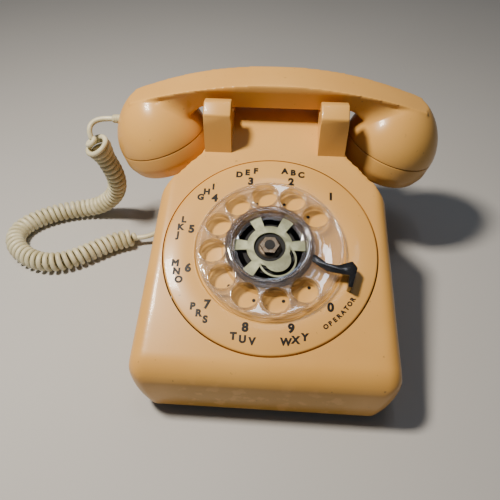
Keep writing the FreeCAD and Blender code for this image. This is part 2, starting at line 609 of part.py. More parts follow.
# ---------------------------------------------------------------- gears
def gear_shape(teeth, module, thick, bore, phase):
    """A spur gear with straight-flanked teeth, thinned for backlash; one tooth points along phase."""
    pitch = teeth * module / 2
    points = []
    for tooth in range(int(teeth)):
        middle = phase + tooth * 2 * math.pi / teeth
        for radius, share in ((pitch - 1.2 * module, -0.34), (pitch + 0.8 * module, -0.11),
                              (pitch + 0.8 * module, 0.11), (pitch - 1.2 * module, 0.34)):
            angle = middle + share * 2 * math.pi / teeth
            points.append(V(radius * math.cos(angle), radius * math.sin(angle), 0))
    points.append(points[0])
    blank = Part.Face(Part.makePolygon(points)).extrude(V(0, 0, thick))
    return blank.cut(Part.makeCylinder(bore, thick + 2, V(0, 0, -1)))


def at_level(shape, at, level):
    shape.translate(V(at.x, at.y, level))
    return shape


gear_level = -size("bridge_depth") + 3.4
facing = math.radians(GEAR_SIDE)
gear = gear_shape(size("main_teeth"), size("gear_module"), size("gear_thick"), size("shaft_radius"), facing)
on_dial(coded(at_level(gear, V(0, 0, 0), gear_level), "main_gear"))
pinion_phase = facing + math.pi + math.pi / size("pinion_teeth")
pinion = gear_shape(size("pinion_teeth"), size("gear_module"), size("gear_thick"), 1.4, pinion_phase)
train_facing = math.radians(GOVERNOR_SIDE)
train = gear_shape(size("train_teeth"), size("train_module"), 1.2, 1.4, train_facing)
pulse = at_level(pinion, pulse_at, gear_level)
pulse = pulse.fuse(at_level(train, pulse_at, gear_level + 4))
cam = Part.makeCylinder(5.4, 2, V(0, 0, 0)).cut(Part.makeCylinder(3.2, 4, V(6.4, 0, -1)))
pulse = pulse.fuse(at_level(cam, pulse_at, gear_level + 7.4))
pulse_spindle = Part.makeCylinder(1.5, size("bridge_depth") - size("frame_depth") + 4,
                                  V(pulse_at.x, pulse_at.y, -size("bridge_depth") - 1.6))
on_dial(coded(pulse.fuse(pulse_spindle), "pulse_wheel"))
governor_phase = train_facing + math.pi + math.pi / size("governor_teeth")
rotor = at_level(gear_shape(size("governor_teeth"), size("train_module"), 1.2, 1.4, governor_phase),
                 governor_at, gear_level + 4)
spindle = Part.makeCylinder(1.5, size("bridge_depth") - size("frame_depth") + 4,
                            V(governor_at.x, governor_at.y, -size("bridge_depth") - 1.6))
weights = Part.makeBox(11, 3.4, 3, V(governor_at.x - 5.5, governor_at.y - 1.7, gear_level + 7.6))
on_dial(coded(rotor.fuse(spindle).fuse(weights), "governor_rotor"))
drum = Part.makeCylinder(7.6, 4.6, V(governor_at.x, governor_at.y, -size("frame_depth") - 4.6))
drum = drum.cut(Part.makeCylinder(6.6, 4.6, V(governor_at.x, governor_at.y, -size("frame_depth") - 4.6)))
on_dial(coded(drum, "governor_drum"))

# the return spring: coils of flat strip round the shaft, between the bearing and the gear
spring_low, spring_tall, coils, strip_thick = gear_level + size("gear_thick") + 1.2, 3.6, 4, 0.5
mainspring = Part.makeBox(8.6, 1.2, spring_tall, V(size("shaft_radius"), -0.6, spring_low))
for turn_number in range(coils):
    radius = size("shaft_radius") + 2.2 + turn_number * 2.0
    tube = Part.makeCylinder(radius + strip_thick, spring_tall, V(0, 0, spring_low))
    inside = Part.makeCylinder(radius, spring_tall + 2, V(0, 0, spring_low - 1))
    mainspring = mainspring.fuse(tube.cut(inside))
on_dial(coded(mainspring, "mainspring"))

# ---------------------------------------------------------------- finger stop, pulse contacts, bracket
stop_level = size("wheel_top") + 1.2
stop_blade = plan_solid([(24.9, -4.6, 1.2), (33.2, -10.6, 6), (39.0, -11.6, 6), (47.2, -8.6, 1),
                         (50.0, -12.6, 1), (47.0, -17.6, 1), (40.0, -16.4, 4), (33.0, -15.4, 6),
                         (24.4, -9.4, 1.2)], stop_level, 1.2)
stop_leg = plan_solid([(46.2, -10.2, 0), (50.0, -12.6, 0), (46.2, -24.6, 0), (44.2, -23.6, 0)],
                      0, stop_level + 1.2)
around_wheel = Part.makeCylinder(size("wheel_radius") + 0.8, stop_level)
on_dial(coded(stop_blade.fuse(stop_leg.cut(around_wheel)), "finger_stop"))
contact_spot = V(-16, -24, 0)
contacts = Part.makeBox(10, 8, 7, V(contact_spot.x - 5, contact_spot.y - 4, -size("frame_depth") - 7))
for blade in range(3):
    contacts = contacts.fuse(Part.makeBox(22, 5, 0.4, V(contact_spot.x - 17, contact_spot.y - 2.5,
                                                       -size("frame_depth") - 2 - 1.8 * blade)))
on_dial(coded(contacts, "pulse_contacts"))
legs = []
for side in (-1, 1):
    leg = Part.makeBox(2, 22, 90, V(side * 46 - 1, -11, -size("frame_depth") - 90))
    flange = Part.makeBox(8, 22, 1.6, V(side * 46 - (7 if side > 0 else 1), -11, -size("frame_depth") - 1.6))
    legs.append(leg.fuse(flange))
bracket_shape = legs[0].fuse(legs[1])
bracket_shape.Placement = DIAL
above = Part.makeBox(200, 300, 200, V(-100, -150, size("plate_height") + size("plate_thick")))
bracket_shape = bracket_shape.common(above)
coded(bracket_shape, "dial_bracket")

# ---------------------------------------------------------------- handset
def cup_dome():
    """A cup's rounded outside, about its own axis, with its rim at height 0."""
    radius, top = size("cup_radius"), size("cup_height")
    wire = Part.Wire([
        Part.LineSegment(V(0, 0, 0), V(radius, 0, 0)).toShape(),
        Part.Arc(V(radius, 0, 0), V(radius * 0.80, 0, top * 0.56), V(0, 0, top)).toShape(),
        Part.LineSegment(V(0, 0, top), V(0, 0, 0)).toShape(),
    ])
    return Part.Face(wire).revolve(V(0, 0, 0), V(0, 0, 1), 360)


def arch_height(x):
    return size("handle_top") - x * x / (2 * size("arch_radius"))


def handle_solid():
    """The grip: its side view, seen along Y, cut to the section it has across."""
    reach = size("cup_x") + 16
    under = size("handle_under")
    top_arc = Part.Arc(V(-reach, 0, arch_height(reach)), V(0, 0, arch_height(0)),
                       V(reach, 0, arch_height(reach)))
    bend = size("ear_gap") / 2 + size("ear_width") + 3
    low = size("cup_z") + 4
    sole = [V(reach, 0, low), V(bend + 16, 0, low), V(bend + 9, 0, under - 7), V(bend, 0, under),
            V(-bend, 0, under), V(-bend - 9, 0, under - 7), V(-bend - 16, 0, low), V(-reach, 0, low)]
    edges = [top_arc.toShape(), Part.makePolygon([top_arc.EndPoint] + sole + [top_arc.StartPoint])]
    side_view = Part.Face(Part.Wire([edge for item in edges for edge in item.Edges]))
    side_view.translate(V(0, -50, 0))
    blank = side_view.extrude(V(0, 200, 0))
    middle, half_top, half_sole = size("cradle_y"), size("handle_width") / 2, size("handle_sole") / 2
    across = [(middle - half_top, 150, 0), (middle - half_top, arch_height(0) - 2, 2),
              (middle - half_sole, under, 3), (middle - half_sole, low - 20, 0),
              (middle + half_sole, low - 20, 0), (middle + half_sole, under, 3),
              (middle + half_top, arch_height(0) - 2, 2), (middle + half_top, 150, 0)]
    return blank.common(side_solid(across, 2 * reach + 60))


def under_arch():
    """Everything below the handset's arched top."""
    reach = 140
    ends = [V(-reach, -50, arch_height(reach)), V(reach, -50, arch_height(reach))]
    arc = Part.Arc(ends[0], V(0, -50, arch_height(0)), ends[1])
    sides = Part.makePolygon([ends[1], V(reach, -50, 20), V(-reach, -50, 20), ends[0]])
    return Part.Face(Part.Wire([arc.toShape()] + sides.Edges)).extrude(V(0, 250, 0))


boot_z = 95.0
boot_x = -(size("cup_x") + size("cup_radius") - 6)
handset = handle_solid()
for side in (-1, 1):
    dome = cup_dome()
    dome.Placement = cup_place(side)
    handset = handset.fuse(dome)
handset = handset.common(under_arch())
bore = size("cup_radius") - size("cup_wall")
for side in (-1, 1):
    neck = Part.makeCylinder(bore - 0.4, size("thread_depth") + 2, V(0, 0, -size("thread_depth")))
    neck.Placement = cup_place(side)
    handset = handset.fuse(neck)
for side in (-1, 1):
    narrowing = Part.makeCone(bore - 3, bore - 13, 8, V(0, 0, 14))
    hollow = Part.makeCylinder(bore - 3, 22, V(0, 0, -8)).fuse(narrowing)
    hollow.Placement = cup_place(side)
    handset = handset.cut(hollow)
way_end = V(52, size("cradle_y"), size("handle_under") + 7)
wire_way = Part.makeCylinder(3.2, 2 * way_end.x, V(-way_end.x, way_end.y, way_end.z), V(1, 0, 0))
for side in (-1, 1):
    bend_at = V(side * way_end.x, way_end.y, way_end.z)
    cup_middle = V(side * size("cup_x"), size("cradle_y"), size("cup_z"))
    wire_way = wire_way.fuse(Part.makeCylinder(3.2, (cup_middle - bend_at).Length, bend_at,
                                               cup_middle - bend_at))
boot_hole = Part.makeCone(3.6, 2.8, 10, V(boot_x + 2, size("cradle_y"), boot_z), V(-1, 0, 0))
boot_way = Part.makeCylinder(2.4, 16, V(boot_x + 1, size("cradle_y"), boot_z), V(1, 0, 0))
handset = handset.cut(wire_way).cut(boot_hole).cut(boot_way).removeSplitter()
coded(handset, "handset_shell")
boot = Part.makeCone(3.6, 2.8, 10, V(boot_x + 2, size("cradle_y"), boot_z), V(-1, 0, 0))
coded(boot, "handset_cord_boot")

cap_low = "-cap_depth"
cap_in = "cup_radius - cup_wall - 0.4 + thread_gap"
for side, label in ((-1, "transmitter_cap"), (1, "receiver_cap")):
    cap = turned([
        ("0", cap_low), ("cup_radius - cap_round", cap_low), ("cup_radius - 2.6", "-cap_depth + 3"),
        ("cup_radius", "-cap_depth + cap_round + 3"), ("cup_radius", "-0.8"), (cap_in, "-0.8"),
        (cap_in, "-cap_depth + 7.5"), ("cup_radius - cap_round", "-cap_depth + cap_wall"),
        ("0", "-cap_depth + cap_wall")])
    holes = [rod("1.6", "cap_wall + 2", 0, 0, "-cap_depth - 1")]
    for k in range(6):
        turn = math.radians(60 * k)
        holes.append(rod("1.6", "cap_wall + 2", 8 * math.cos(turn), 8 * math.sin(turn), "-cap_depth - 1"))
    on_cup(keep(cut(cap, holes), label), side)
on_cup(turned([("0", "-cap_depth + cap_wall + 0.2"), ("20", "-cap_depth + cap_wall + 0.2"),
               ("26", "-10"), ("26", "-7"), ("22", "-7"), ("22", "-2"), ("0", "-2")], "transmitter_unit"), -1)
on_cup(turned([("0", "-1.8"), ("24", "-1.8"), ("24", "3"), ("10", "3"), ("10", "8"), ("0", "8")],
              "transmitter_cup"), -1)
on_cup(turned([("0", "-cap_depth + cap_wall + 0.2"), ("19", "-cap_depth + cap_wall + 0.2"), ("25", "-9.5"),
               ("25", "-7"), ("22", "-7"), ("22", "2"), ("14", "2"), ("14", "7"), ("0", "7")],
              "receiver_unit"), 1)


# ---------------------------------------------------------------- cord
def tube_along(points, radius, label):
    """Straight runs joined by tangent arcs as large as the runs allow."""
    corners = [V(*point) for point in points]
    edges = []
    last = corners[0]
    radii = []
    for k in range(1, len(corners) - 1):
        before, after = corners[k - 1] - corners[k], corners[k + 1] - corners[k]
        back = 0.45 * min(before.Length, after.Length)
        before.normalize()
        after.normalize()
        half_turn = (math.pi - before.getAngle(after)) / 2
        arc_radius = back / math.tan(half_turn)
        inwards = (before + after).normalize()
        mid = corners[k] + inwards * (arc_radius / math.cos(half_turn) - arc_radius)
        first, end = corners[k] + before * back, corners[k] + after * back
        edges.append(Part.LineSegment(last, first).toShape())
        edges.append(Part.Arc(first, mid, end).toShape())
        last = end
        radii.append(round(arc_radius, 1))
    edges.append(Part.LineSegment(last, corners[-1]).toShape())
    path = Part.Wire(edges)
    length = path.Length
    heading = (corners[1] - corners[0]).normalize()
    circle = Part.Wire([Part.Circle(corners[0], heading, radius).toShape()])
    tube = path.makePipeShell([circle], True, True)
    print(label, "arc radii", radii, "length", round(length, 1),
          "volume share", round(tube.Volume / (math.pi * radius ** 2 * length), 4))
    return coded(tube, label)


boot_end = boot_x - 8
LEAD_TOP = [(boot_end, size("cradle_y"), boot_z), (boot_end - 5.5, size("cradle_y"), boot_z),
            (-126.5, 60.4, 93.6), (-130.8, 59.4, 88.6), (-130.4, 58.2, 82.4), (-126.8, 57.1, 77.75),
            (-125.4, 56.8, 72.5)]
COIL = [(-125.4, 56.8, 72.5), (-122.6, 56.2, 62.0), (-120.6, 57.0, 50.5), (-121.4, 59.6, 38.5),
        (-125.8, 62.8, 27.0), (-133.8, 64.8, 17.0), (-144.6, 65.2, 10.0), (-157.5, 64.2, 7.6),
        (-171.0, 60.4, 7.5), (-184.0, 53.8, 7.5), (-194.8, 45.0, 7.5), (-200.8, 34.0, 7.5),
        (-199.4, 22.4, 7.5), (-191.6, 12.2, 7.5), (-180.2, 4.8, 7.5), (-167.6, 1.2, 7.5),
        (-155.2, 3.0, 7.5), (-144.2, 9.4, 7.5), (-133.6, 17.8, 7.5), (-123.0, 25.6, 7.5),
        (-112.8, 30.6, 7.5), (-104.0, 32.2, 7.6)]
inlet_end = -(size("body_width") / 2 - size("rim_inset") * 0.62 + 0.6) - 4
LEAD_BASE = [(-104.0, 32.2, 7.6), (-96.96, 33.48, 7.68), (-90.2, 35.2, 10.4),
             (-83.0, size("cord_inlet_y"), size("cord_inlet_z")),
             (inlet_end, size("cord_inlet_y"), size("cord_inlet_z"))]
tube_along(LEAD_TOP, size("cord_radius"), "cord_lead_handset")
tube_along(COIL, size("coil_radius"), "cord_curly")
tube_along(LEAD_BASE, size("cord_radius"), "cord_lead_base")

# ---------------------------------------------------------------- checks and files
doc.recompute()
for obj in doc.Objects:
    if {"Invalid", "Error"} & set(obj.State):
        raise RuntimeError(f"{obj.Label} failed: {obj.State}")
labels = [node.Label for node in nodes]
if len(set(labels)) != len(labels):
    raise RuntimeError("two pieces share a name")
for node in nodes:
    if node.Shape.isNull() or not node.Shape.isValid() or not node.Shape.Solids:
        raise RuntimeError(f"{node.Label} has no valid solid")
os.makedirs("parts", exist_ok=True)
for node in nodes:
    node.Shape.exportStep(os.path.join("parts", node.Label + ".step"))
print(len(nodes), "pieces written")
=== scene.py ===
import math

import bmesh
import bpy
from mathutils import Matrix, Vector


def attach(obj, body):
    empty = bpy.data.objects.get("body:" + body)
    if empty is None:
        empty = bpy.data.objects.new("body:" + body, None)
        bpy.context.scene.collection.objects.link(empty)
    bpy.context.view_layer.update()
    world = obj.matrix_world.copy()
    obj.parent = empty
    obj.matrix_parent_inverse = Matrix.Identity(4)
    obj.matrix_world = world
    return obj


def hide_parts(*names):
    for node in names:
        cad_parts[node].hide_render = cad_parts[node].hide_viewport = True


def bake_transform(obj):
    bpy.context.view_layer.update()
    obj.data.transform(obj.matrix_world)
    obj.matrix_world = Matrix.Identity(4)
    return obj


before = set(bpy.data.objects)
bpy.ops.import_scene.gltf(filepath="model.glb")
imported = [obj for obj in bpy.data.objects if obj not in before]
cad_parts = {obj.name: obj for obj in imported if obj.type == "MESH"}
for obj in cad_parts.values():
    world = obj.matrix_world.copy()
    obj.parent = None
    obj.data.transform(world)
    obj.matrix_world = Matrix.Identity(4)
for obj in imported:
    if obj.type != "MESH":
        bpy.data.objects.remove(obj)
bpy.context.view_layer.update()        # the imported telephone: its bodies, nodes, joints and record

# Rotary desk telephone. The shapes below are drawn in millimetres and turned to metres when each
# one is finished. +Z is up, the dial side faces -Y and the origin is the middle of the footprint.

MM = 0.001
FULL = math.tau

# ---------------------------------------------------------------- places that several pieces share
HALF_WIDTH, HALF_DEPTH, WALL = 76.0, 108.0, 2.6
RIM_Z, WAIST_Z, FORM_Z = 6.0, 34.0, 112.0
RIM_INSET, TOP_INSET = 5.5, 8.0
CORNER_ROUND, NOSE_ROUND, NECK_FOOT = 13.0, 15.0, 30.0
CRADLE_Y, NECK, SADDLE_Z, SEAT_Z, EAR_Z = 61.0, 46.0, 104.0, 111.6, 124.0
DIAL_Y, DIAL_Z, DIAL_TILT = -36.5, 69.7, math.radians(20)
RING_PROUD, RING_RADIUS, RING_GAP = 0.8, 63.3, 0.7
CUP_X, CUP_Z, CUP_LEAN, CUP_RADIUS, CUP_HEIGHT = 80.5, 84.8, math.radians(16), 32.0, 35.2
BOOT_X, BOOT_Z = 104.5, 95.0
CORD_RADIUS = 1.9

PLUNGER_X, PLUNGER_HOLE = 36.6, 3.46
CORD_INLET = (36.0, 14.0)       # behind the middle, and up
LINE_OUTLET = (40.0, 16.0)      # to the right, and up
GROMMET_HOLE = 4.0

ON_DIAL = Matrix.Translation((0, DIAL_Y, DIAL_Z)) @ Matrix.Rotation(DIAL_TILT, 4, "X")


def on_cup(side):
    """The place of a handset cup: the middle of its seam, with its axis leaning outwards."""
    return Matrix.Translation((side * CUP_X, CRADLE_Y, CUP_Z)) @ Matrix.Rotation(side * CUP_LEAN, 4, "Y")


def slope_z(y):
    """The height of the housing's sloping top face, just under the number ring's face."""
    return DIAL_Z - RING_PROUD / math.cos(DIAL_TILT) + (y - DIAL_Y) * math.tan(DIAL_TILT)


def ease(value, low, high):
    """0 below low, 1 above high, and a smooth rise between."""
    share = min(max((value - low) / (high - low), 0.0), 1.0)
    return share * share * (3 - 2 * share)


# ---------------------------------------------------------------- making forms
def outline(bm, corners, plane, level):
    """A flat face through (across, up, round) corners, each rounded to its own radius."""
    spots = {"XY": lambda a, b: (a, b, level), "YZ": lambda a, b: (level, a, b),
             "XZ": lambda a, b: (a, level, b)}[plane]
    verts = [bm.verts.new(spots(a, b)) for a, b, _ in corners]
    bm.faces.new(verts)
    places = [vert.co.copy() for vert in verts]
    for k, (vert, (_, _, radius)) in enumerate(zip(verts, corners)):
        if radius:
            before = places[k - 1] - places[k]
            after = places[(k + 1) % len(places)] - places[k]
            back = radius / math.tan(before.angle(after) / 2)
            bmesh.ops.bevel(bm, geom=[vert], offset=back, affect="VERTICES", profile=0.5, material=-1,
                            segments=max(3, round(2.5 * math.sqrt(radius))))
    return bm.faces[:][0]


def slab(corners, plane, low, high):
    """An outline made solid from one level to another."""
    bm = bmesh.new()
    face = outline(bm, corners, plane, low)
    grown = bmesh.ops.extrude_face_region(bm, geom=[face])
    step = {"XY": (0, 0, high - low), "YZ": (high - low, 0, 0), "XZ": (0, high - low, 0)}[plane]
    bmesh.ops.translate(bm, vec=step, verts=[v for v in grown["geom"] if isinstance(v, bmesh.types.BMVert)])
    bmesh.ops.recalc_face_normals(bm, faces=bm.faces)
    return bm


def spun(corners, steps=96):
    """A form turned about +Z from (radius, height, round) corners; it may start and end on the axis."""
    bm = bmesh.new()
    outline(bm, corners, "XZ", 0.0)
    bmesh.ops.delete(bm, geom=bm.faces[:], context="FACES_ONLY")
    core = [edge for edge in bm.edges if all(abs(vert.co.x) < 1e-6 for vert in edge.verts)]
    bmesh.ops.delete(bm, geom=core, context="EDGES")
    bmesh.ops.spin(bm, geom=bm.verts[:] + bm.edges[:], cent=(0, 0, 0), axis=(0, 0, 1), angle=FULL,
                   steps=steps, use_merge=True, use_duplicate=False)
    bmesh.ops.remove_doubles(bm, verts=bm.verts, dist=1e-4)
    bmesh.ops.dissolve_degenerate(bm, edges=bm.edges, dist=1e-5)
    bmesh.ops.recalc_face_normals(bm, faces=bm.faces)
    return bm


def rod(radius, low, high, place=None, steps=48):
    """A round bar about +Z, then turned to its place."""
    bm = bmesh.new()
    bmesh.ops.create_cone(bm, cap_ends=True, segments=steps, radius1=radius, radius2=radius, depth=high - low)
    bmesh.ops.translate(bm, vec=(0, 0, (low + high) / 2), verts=bm.verts)
    if place:
        bmesh.ops.transform(bm, matrix=place, verts=bm.verts)
    return bm


def edge_rounded(bm, edges, offset, segments):
    bmesh.ops.bevel(bm, geom=edges, offset=offset, affect="EDGES", segments=segments, profile=0.5,
                    material=-1)
    return bm


def work(bm):
    """Puts a bmesh on a passing object, so that modifiers can work on it."""
    mesh = bpy.data.meshes.new("work")
    bm.to_mesh(mesh)
    bm.free()
    obj = bpy.data.objects.new("work", mesh)
    bpy.context.scene.collection.objects.link(obj)
    return obj


def settle(obj):
    """Applies an object's modifiers."""
    bpy.context.view_layer.update()
    seen = obj.evaluated_get(bpy.context.evaluated_depsgraph_get())
    mesh = bpy.data.meshes.new_from_object(seen)
    obj.modifiers.clear()
    obj.data = mesh
    return obj


def carve(obj, tool, operation="DIFFERENCE"):
    """Cuts a tool away from an object, or joins the two."""
    other = work(tool) if isinstance(tool, bmesh.types.BMesh) else tool
    step = obj.modifiers.new("carve", "BOOLEAN")
    step.object = other
    step.operation = operation
    step.solver = "EXACT"
    settle(obj)
    bpy.data.objects.remove(other)
    return obj


def several(forms):
    """Separate closed forms put together in one bmesh."""
    bm = bmesh.new()
    for form in forms:
        mesh = bpy.data.meshes.new("passing")
        form.to_mesh(mesh)
        form.free()
        bm.from_mesh(mesh)
        bpy.data.meshes.remove(mesh)
    return bm


def soften(obj, grain):
    """Rebuilds a form in even faces, the way a mould's edges come out: none of them sharp."""
    step = obj.modifiers.new("even", "REMESH")
    step.mode = "VOXEL"
    step.voxel_size = grain
    return settle(obj)


def relax(obj, passes):
    step = obj.modifiers.new("relax", "SMOOTH")
    step.factor = 0.5
    step.iterations = passes
    return settle(obj)


def edge_broken(obj, width, segments):
    """Takes the sharpness off every hard edge of a stamped piece."""
    step = obj.modifiers.new("edge", "BEVEL")
    step.width = width
    step.segments = segments
    step.limit_method = "ANGLE"
    return settle(obj)


def level_cut(bm, place, normal):
    """Takes away what lies on the far side of a plane and closes the cut."""
    bmesh.ops.bisect_plane(bm, geom=bm.verts[:] + bm.edges[:] + bm.faces[:], plane_co=place,
                           plane_no=normal, clear_inner=True)
    bmesh.ops.holes_fill(bm, edges=[edge for edge in bm.edges if edge.is_boundary])
    return bm


def reopened(obj):
    bm = bmesh.new()
    bm.from_mesh(obj.data)
    return bm


def piece(form, name, finish, body, stands_for=(), place=None, sharp=32):
    """Finishes a form: turns it to metres in its place, names it and sets what it rides on."""
    obj = work(form) if isinstance(form, bmesh.types.BMesh) else form
    obj.name = name
    obj.data.name = name
    obj.data.transform(Matrix.Scale(MM, 4) @ (place or Matrix.Identity(4)))
    obj.data.materials.clear()
    obj.data.materials.append(finish)
    obj.data.shade_smooth()
    obj.data.set_sharp_from_angle(angle=math.radians(sharp))
    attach(obj, body)
    if stands_for:
        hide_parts(*stands_for)
    return obj


# ---------------------------------------------------------------- making finishes
def linear(code):
    """An sRGB hex colour as the linear values that a shader takes."""
    parts = [int(code[k:k + 2], 16) / 255 for k in (1, 3, 5)]
    return [part / 12.92 if part <= 0.04045 else ((part + 0.055) / 1.055) ** 2.4 for part in parts] + [1.0]


def add(tree, kind, settings=None, links=None):
    """Adds a node with its settings, by property or input socket, and what feeds its inputs."""
    node = tree.nodes.new(kind)
    for key, value in (settings or {}).items():
        if isinstance(key, int) or key in node.inputs:
            node.inputs[key].default_value = value
        else:
            setattr(node, key, value)
    for key, source in (links or {}).items():
        tree.links.new(source, node.inputs[key])
    return node


def per_mm(size):
    """The scale of a pattern whose features are this many millimetres across."""
    return 1 / (size * MM)


def finish(name, light, dark, patch=30.0, rough=(0.3, 0.4), grain=1.0, relief=0.02, shader=None):
    """A surface that drifts between two colours over patches, with its own gloss and fine grain.

    Returns the material with its node tree, shader, coordinates and colour, for what comes on top."""
    material = bpy.data.materials.new(name)
    material.use_nodes = True
    tree = material.node_tree
    tree.nodes.clear()
    skin = add(tree, "ShaderNodeBsdfPrincipled", shader)
    add(tree, "ShaderNodeOutputMaterial", links={"Surface": skin.outputs["BSDF"]})
    spot = add(tree, "ShaderNodeTexCoord").outputs["Object"]
    drift = add(tree, "ShaderNodeTexNoise", {"Scale": per_mm(patch), "Detail": 3.0}, {"Vector": spot})
    blend = add(tree, "ShaderNodeMapRange", {"From Min": 0.35, "From Max": 0.65},
                {"Value": drift.outputs["Fac"]})
    colour = add(tree, "ShaderNodeMix", {"data_type": "RGBA", 6: linear(light), 7: linear(dark)},
                 {0: blend.outputs["Result"]}).outputs[2]
    tree.links.new(colour, skin.inputs["Base Color"])
    fine = add(tree, "ShaderNodeTexNoise", {"Scale": per_mm(grain), "Detail": 4.0}, {"Vector": spot})
    gloss = add(tree, "ShaderNodeMapRange", {"From Min": 0.3, "From Max": 0.7, "To Min": rough[0],
                                             "To Max": rough[1]}, {"Value": drift.outputs["Fac"]})
    tree.links.new(gloss.outputs["Result"], skin.inputs["Roughness"])
    bump = add(tree, "ShaderNodeBump", {"Strength": 0.3, "Distance": relief * MM},
               {"Height": fine.outputs["Fac"]})
    tree.links.new(bump.outputs["Normal"], skin.inputs["Normal"])
    return material, tree, skin, spot, colour


def tan_abs(name, amber_low_front):
    """Injection-moulded ABS in tan: a deep gloss with a slight orange peel, gone a little yellow with age.
    The housing's version turns a darker amber over the lower middle of its front wall, deeper towards the
    bottom; both carry specks of scuffing."""
    material, tree, skin, spot, colour = finish(
        name, "#d9a659", "#d09b4f", patch=70.0, rough=(0.28, 0.36), grain=1.6, relief=0.008,
        shader={"IOR": 1.5, "Specular IOR Level": 0.25, "Coat Weight": 0.14, "Coat Roughness": 0.08})
    axes = add(tree, "ShaderNodeSeparateXYZ", links={"Vector": spot})
    specks = add(tree, "ShaderNodeTexNoise", {"Scale": per_mm(2.4), "Detail": 2.0, "Roughness": 0.4},
                 {"Vector": spot})
    speck = add(tree, "ShaderNodeMapRange", {"From Min": 0.735, "From Max": 0.78, "To Max": 0.55},
                {"Value": specks.outputs["Fac"]})
    marked = add(tree, "ShaderNodeMix", {"data_type": "RGBA", 7: linear("#6e5638")},
                 {0: speck.outputs["Result"], 6: colour})
    colour = marked.outputs[2]
    # Darker amber over the lower middle of the front wall, deepening towards the bottom.
    if amber_low_front:
        low = add(tree, "ShaderNodeMapRange", {"From Min": 0.040, "From Max": 0.027},
                  {"Value": axes.outputs["Z"]})
        front = add(tree, "ShaderNodeMapRange", {"From Min": -0.098, "From Max": -0.103},
                    {"Value": axes.outputs["Y"]})
        aside = add(tree, "ShaderNodeMath", {"operation": "ABSOLUTE"}, {0: axes.outputs["X"]})
        middle = add(tree, "ShaderNodeMapRange", {"From Min": 0.056, "From Max": 0.040},
                     {"Value": aside.outputs[0]})
        low_front_noise = add(tree, "ShaderNodeTexNoise", {"Scale": per_mm(9.0), "Detail": 6.0}, {"Vector": spot})
        patchy = add(tree, "ShaderNodeMapRange", {"From Min": 0.40, "From Max": 0.46, "To Max": 0.6},
                     {"Value": low_front_noise.outputs["Fac"]})
        mask = low.outputs["Result"]
        for part in (front, middle, patchy):
            mask = add(tree, "ShaderNodeMath", {"operation": "MULTIPLY"},
                       {0: mask, 1: part.outputs["Result"]}).outputs[0]
        colour = add(tree, "ShaderNodeMix", {"data_type": "RGBA", 7: linear("#b98a2e")},
                     {0: mask, 6: colour}).outputs[2]
    tree.links.new(colour, skin.inputs["Base Color"])
    return material


def clear_acrylic(name, flat, edge, cover, rough):
    """Clear cast acrylic: hardly there where it is flat to the eye, glassy along its edges, with a painted
    grey shade where it is seen edge-on.
    """
    material, tree, skin, spot, colour = finish(
        name, flat, flat, patch=12.0, rough=rough, grain=2.0, relief=0.01,
        shader={"IOR": 1.49, "Transmission Weight": 0.85, "Coat Weight": 1.0, "Coat Roughness": 0.02,
                "Coat IOR": 2.3})
    facing = add(tree, "ShaderNodeLayerWeight", {"Blend": 0.5}).outputs["Facing"]
    rim = add(tree, "ShaderNodeMapRange", {"From Min": 0.3, "From Max": 0.75},
              {"Value": facing}).outputs["Result"]
    share = add(tree, "ShaderNodeMapRange", {"To Min": cover[0], "To Max": cover[1]}, {"Value": rim})
    tree.links.new(share.outputs["Result"], skin.inputs["Alpha"])
    # Painted shade: the colour turns to the edge grey where the surface is seen edge-on, in place of the
    # darkening that refraction gives there.
    edge_shaded_colour = add(tree, "ShaderNodeMix", {"data_type": "RGBA", 7: linear(edge)}, {0: rim, 6: colour})
    tree.links.new(edge_shaded_colour.outputs[2], skin.inputs["Base Color"])
    return material


def made(name, *words, **facts):
    return finish(name, *words, **facts)[0]


# The housing's finish turns a darker amber low in the middle of its front.
TAN_HOUSING = tan_abs("tan_abs_housing", True)
TAN_HANDSET = tan_abs("tan_abs_handset", False)
# The second colour in each acrylic is its painted grey shade where it is seen edge-on.
CLEAR = clear_acrylic("clear_acrylic", "#f4f1ee", "#8c888a", (0.36, 0.97), (0.03, 0.08))
HUB = clear_acrylic("ridged_clear_acrylic", "#8f8b90", "#5d5960", (0.86, 0.98), (0.08, 0.16))
# Zinc plate with a chromate film: a dull grey-green metal with a mottled sheen.
ZINC = made("chromated_zinc_plate", "#a9ab8e", "#8a8d72", patch=5.0,
            rough=(0.34, 0.55), grain=0.5, relief=0.02,
            shader={"Metallic": 0.75})
STEEL = made("nickel_plated_steel", "#b8b5ae", "#9b988f", patch=6.0,
             rough=(0.2, 0.34), grain=0.4, relief=0.01,
             shader={"Metallic": 1.0})
OLD_STEEL = made("tarnished_steel", "#75695b", "#564c41", patch=2.5, rough=(0.3, 0.5), grain=0.4, relief=0.02,
                 shader={"Metallic": 0.9})
SPRING = made("blued_spring_steel", "#6b7078", "#545960", patch=4.0, rough=(0.2, 0.3), grain=0.4, relief=0.01,
              shader={"Metallic": 1.0})
BRASS = made("turned_brass", "#c9a35a", "#b18c46", patch=4.0, rough=(0.22, 0.36), grain=0.4, relief=0.01,
             shader={"Metallic": 1.0})
GONG = made("lacquered_gong_brass", "#cbb06a", "#ab8d4b", patch=14.0,
            rough=(0.18, 0.32), grain=0.8, relief=0.01,
            shader={"Metallic": 1.0})
# Baked black enamel: nearly black with a soft gloss where the light catches an edge.
ENAMEL = made("black_enamelled_steel", "#121214", "#1a1a1d", patch=6.0,
              rough=(0.14, 0.24), grain=0.7, relief=0.01,
              shader={"IOR": 1.5, "Coat Weight": 0.4, "Coat Roughness": 0.12})
BLACKENED = made("blackened_steel", "#0d0d0f", "#151517", patch=7.0,
                 rough=(0.6, 0.8), grain=0.6, relief=0.005,
                 shader={"IOR": 1.4})
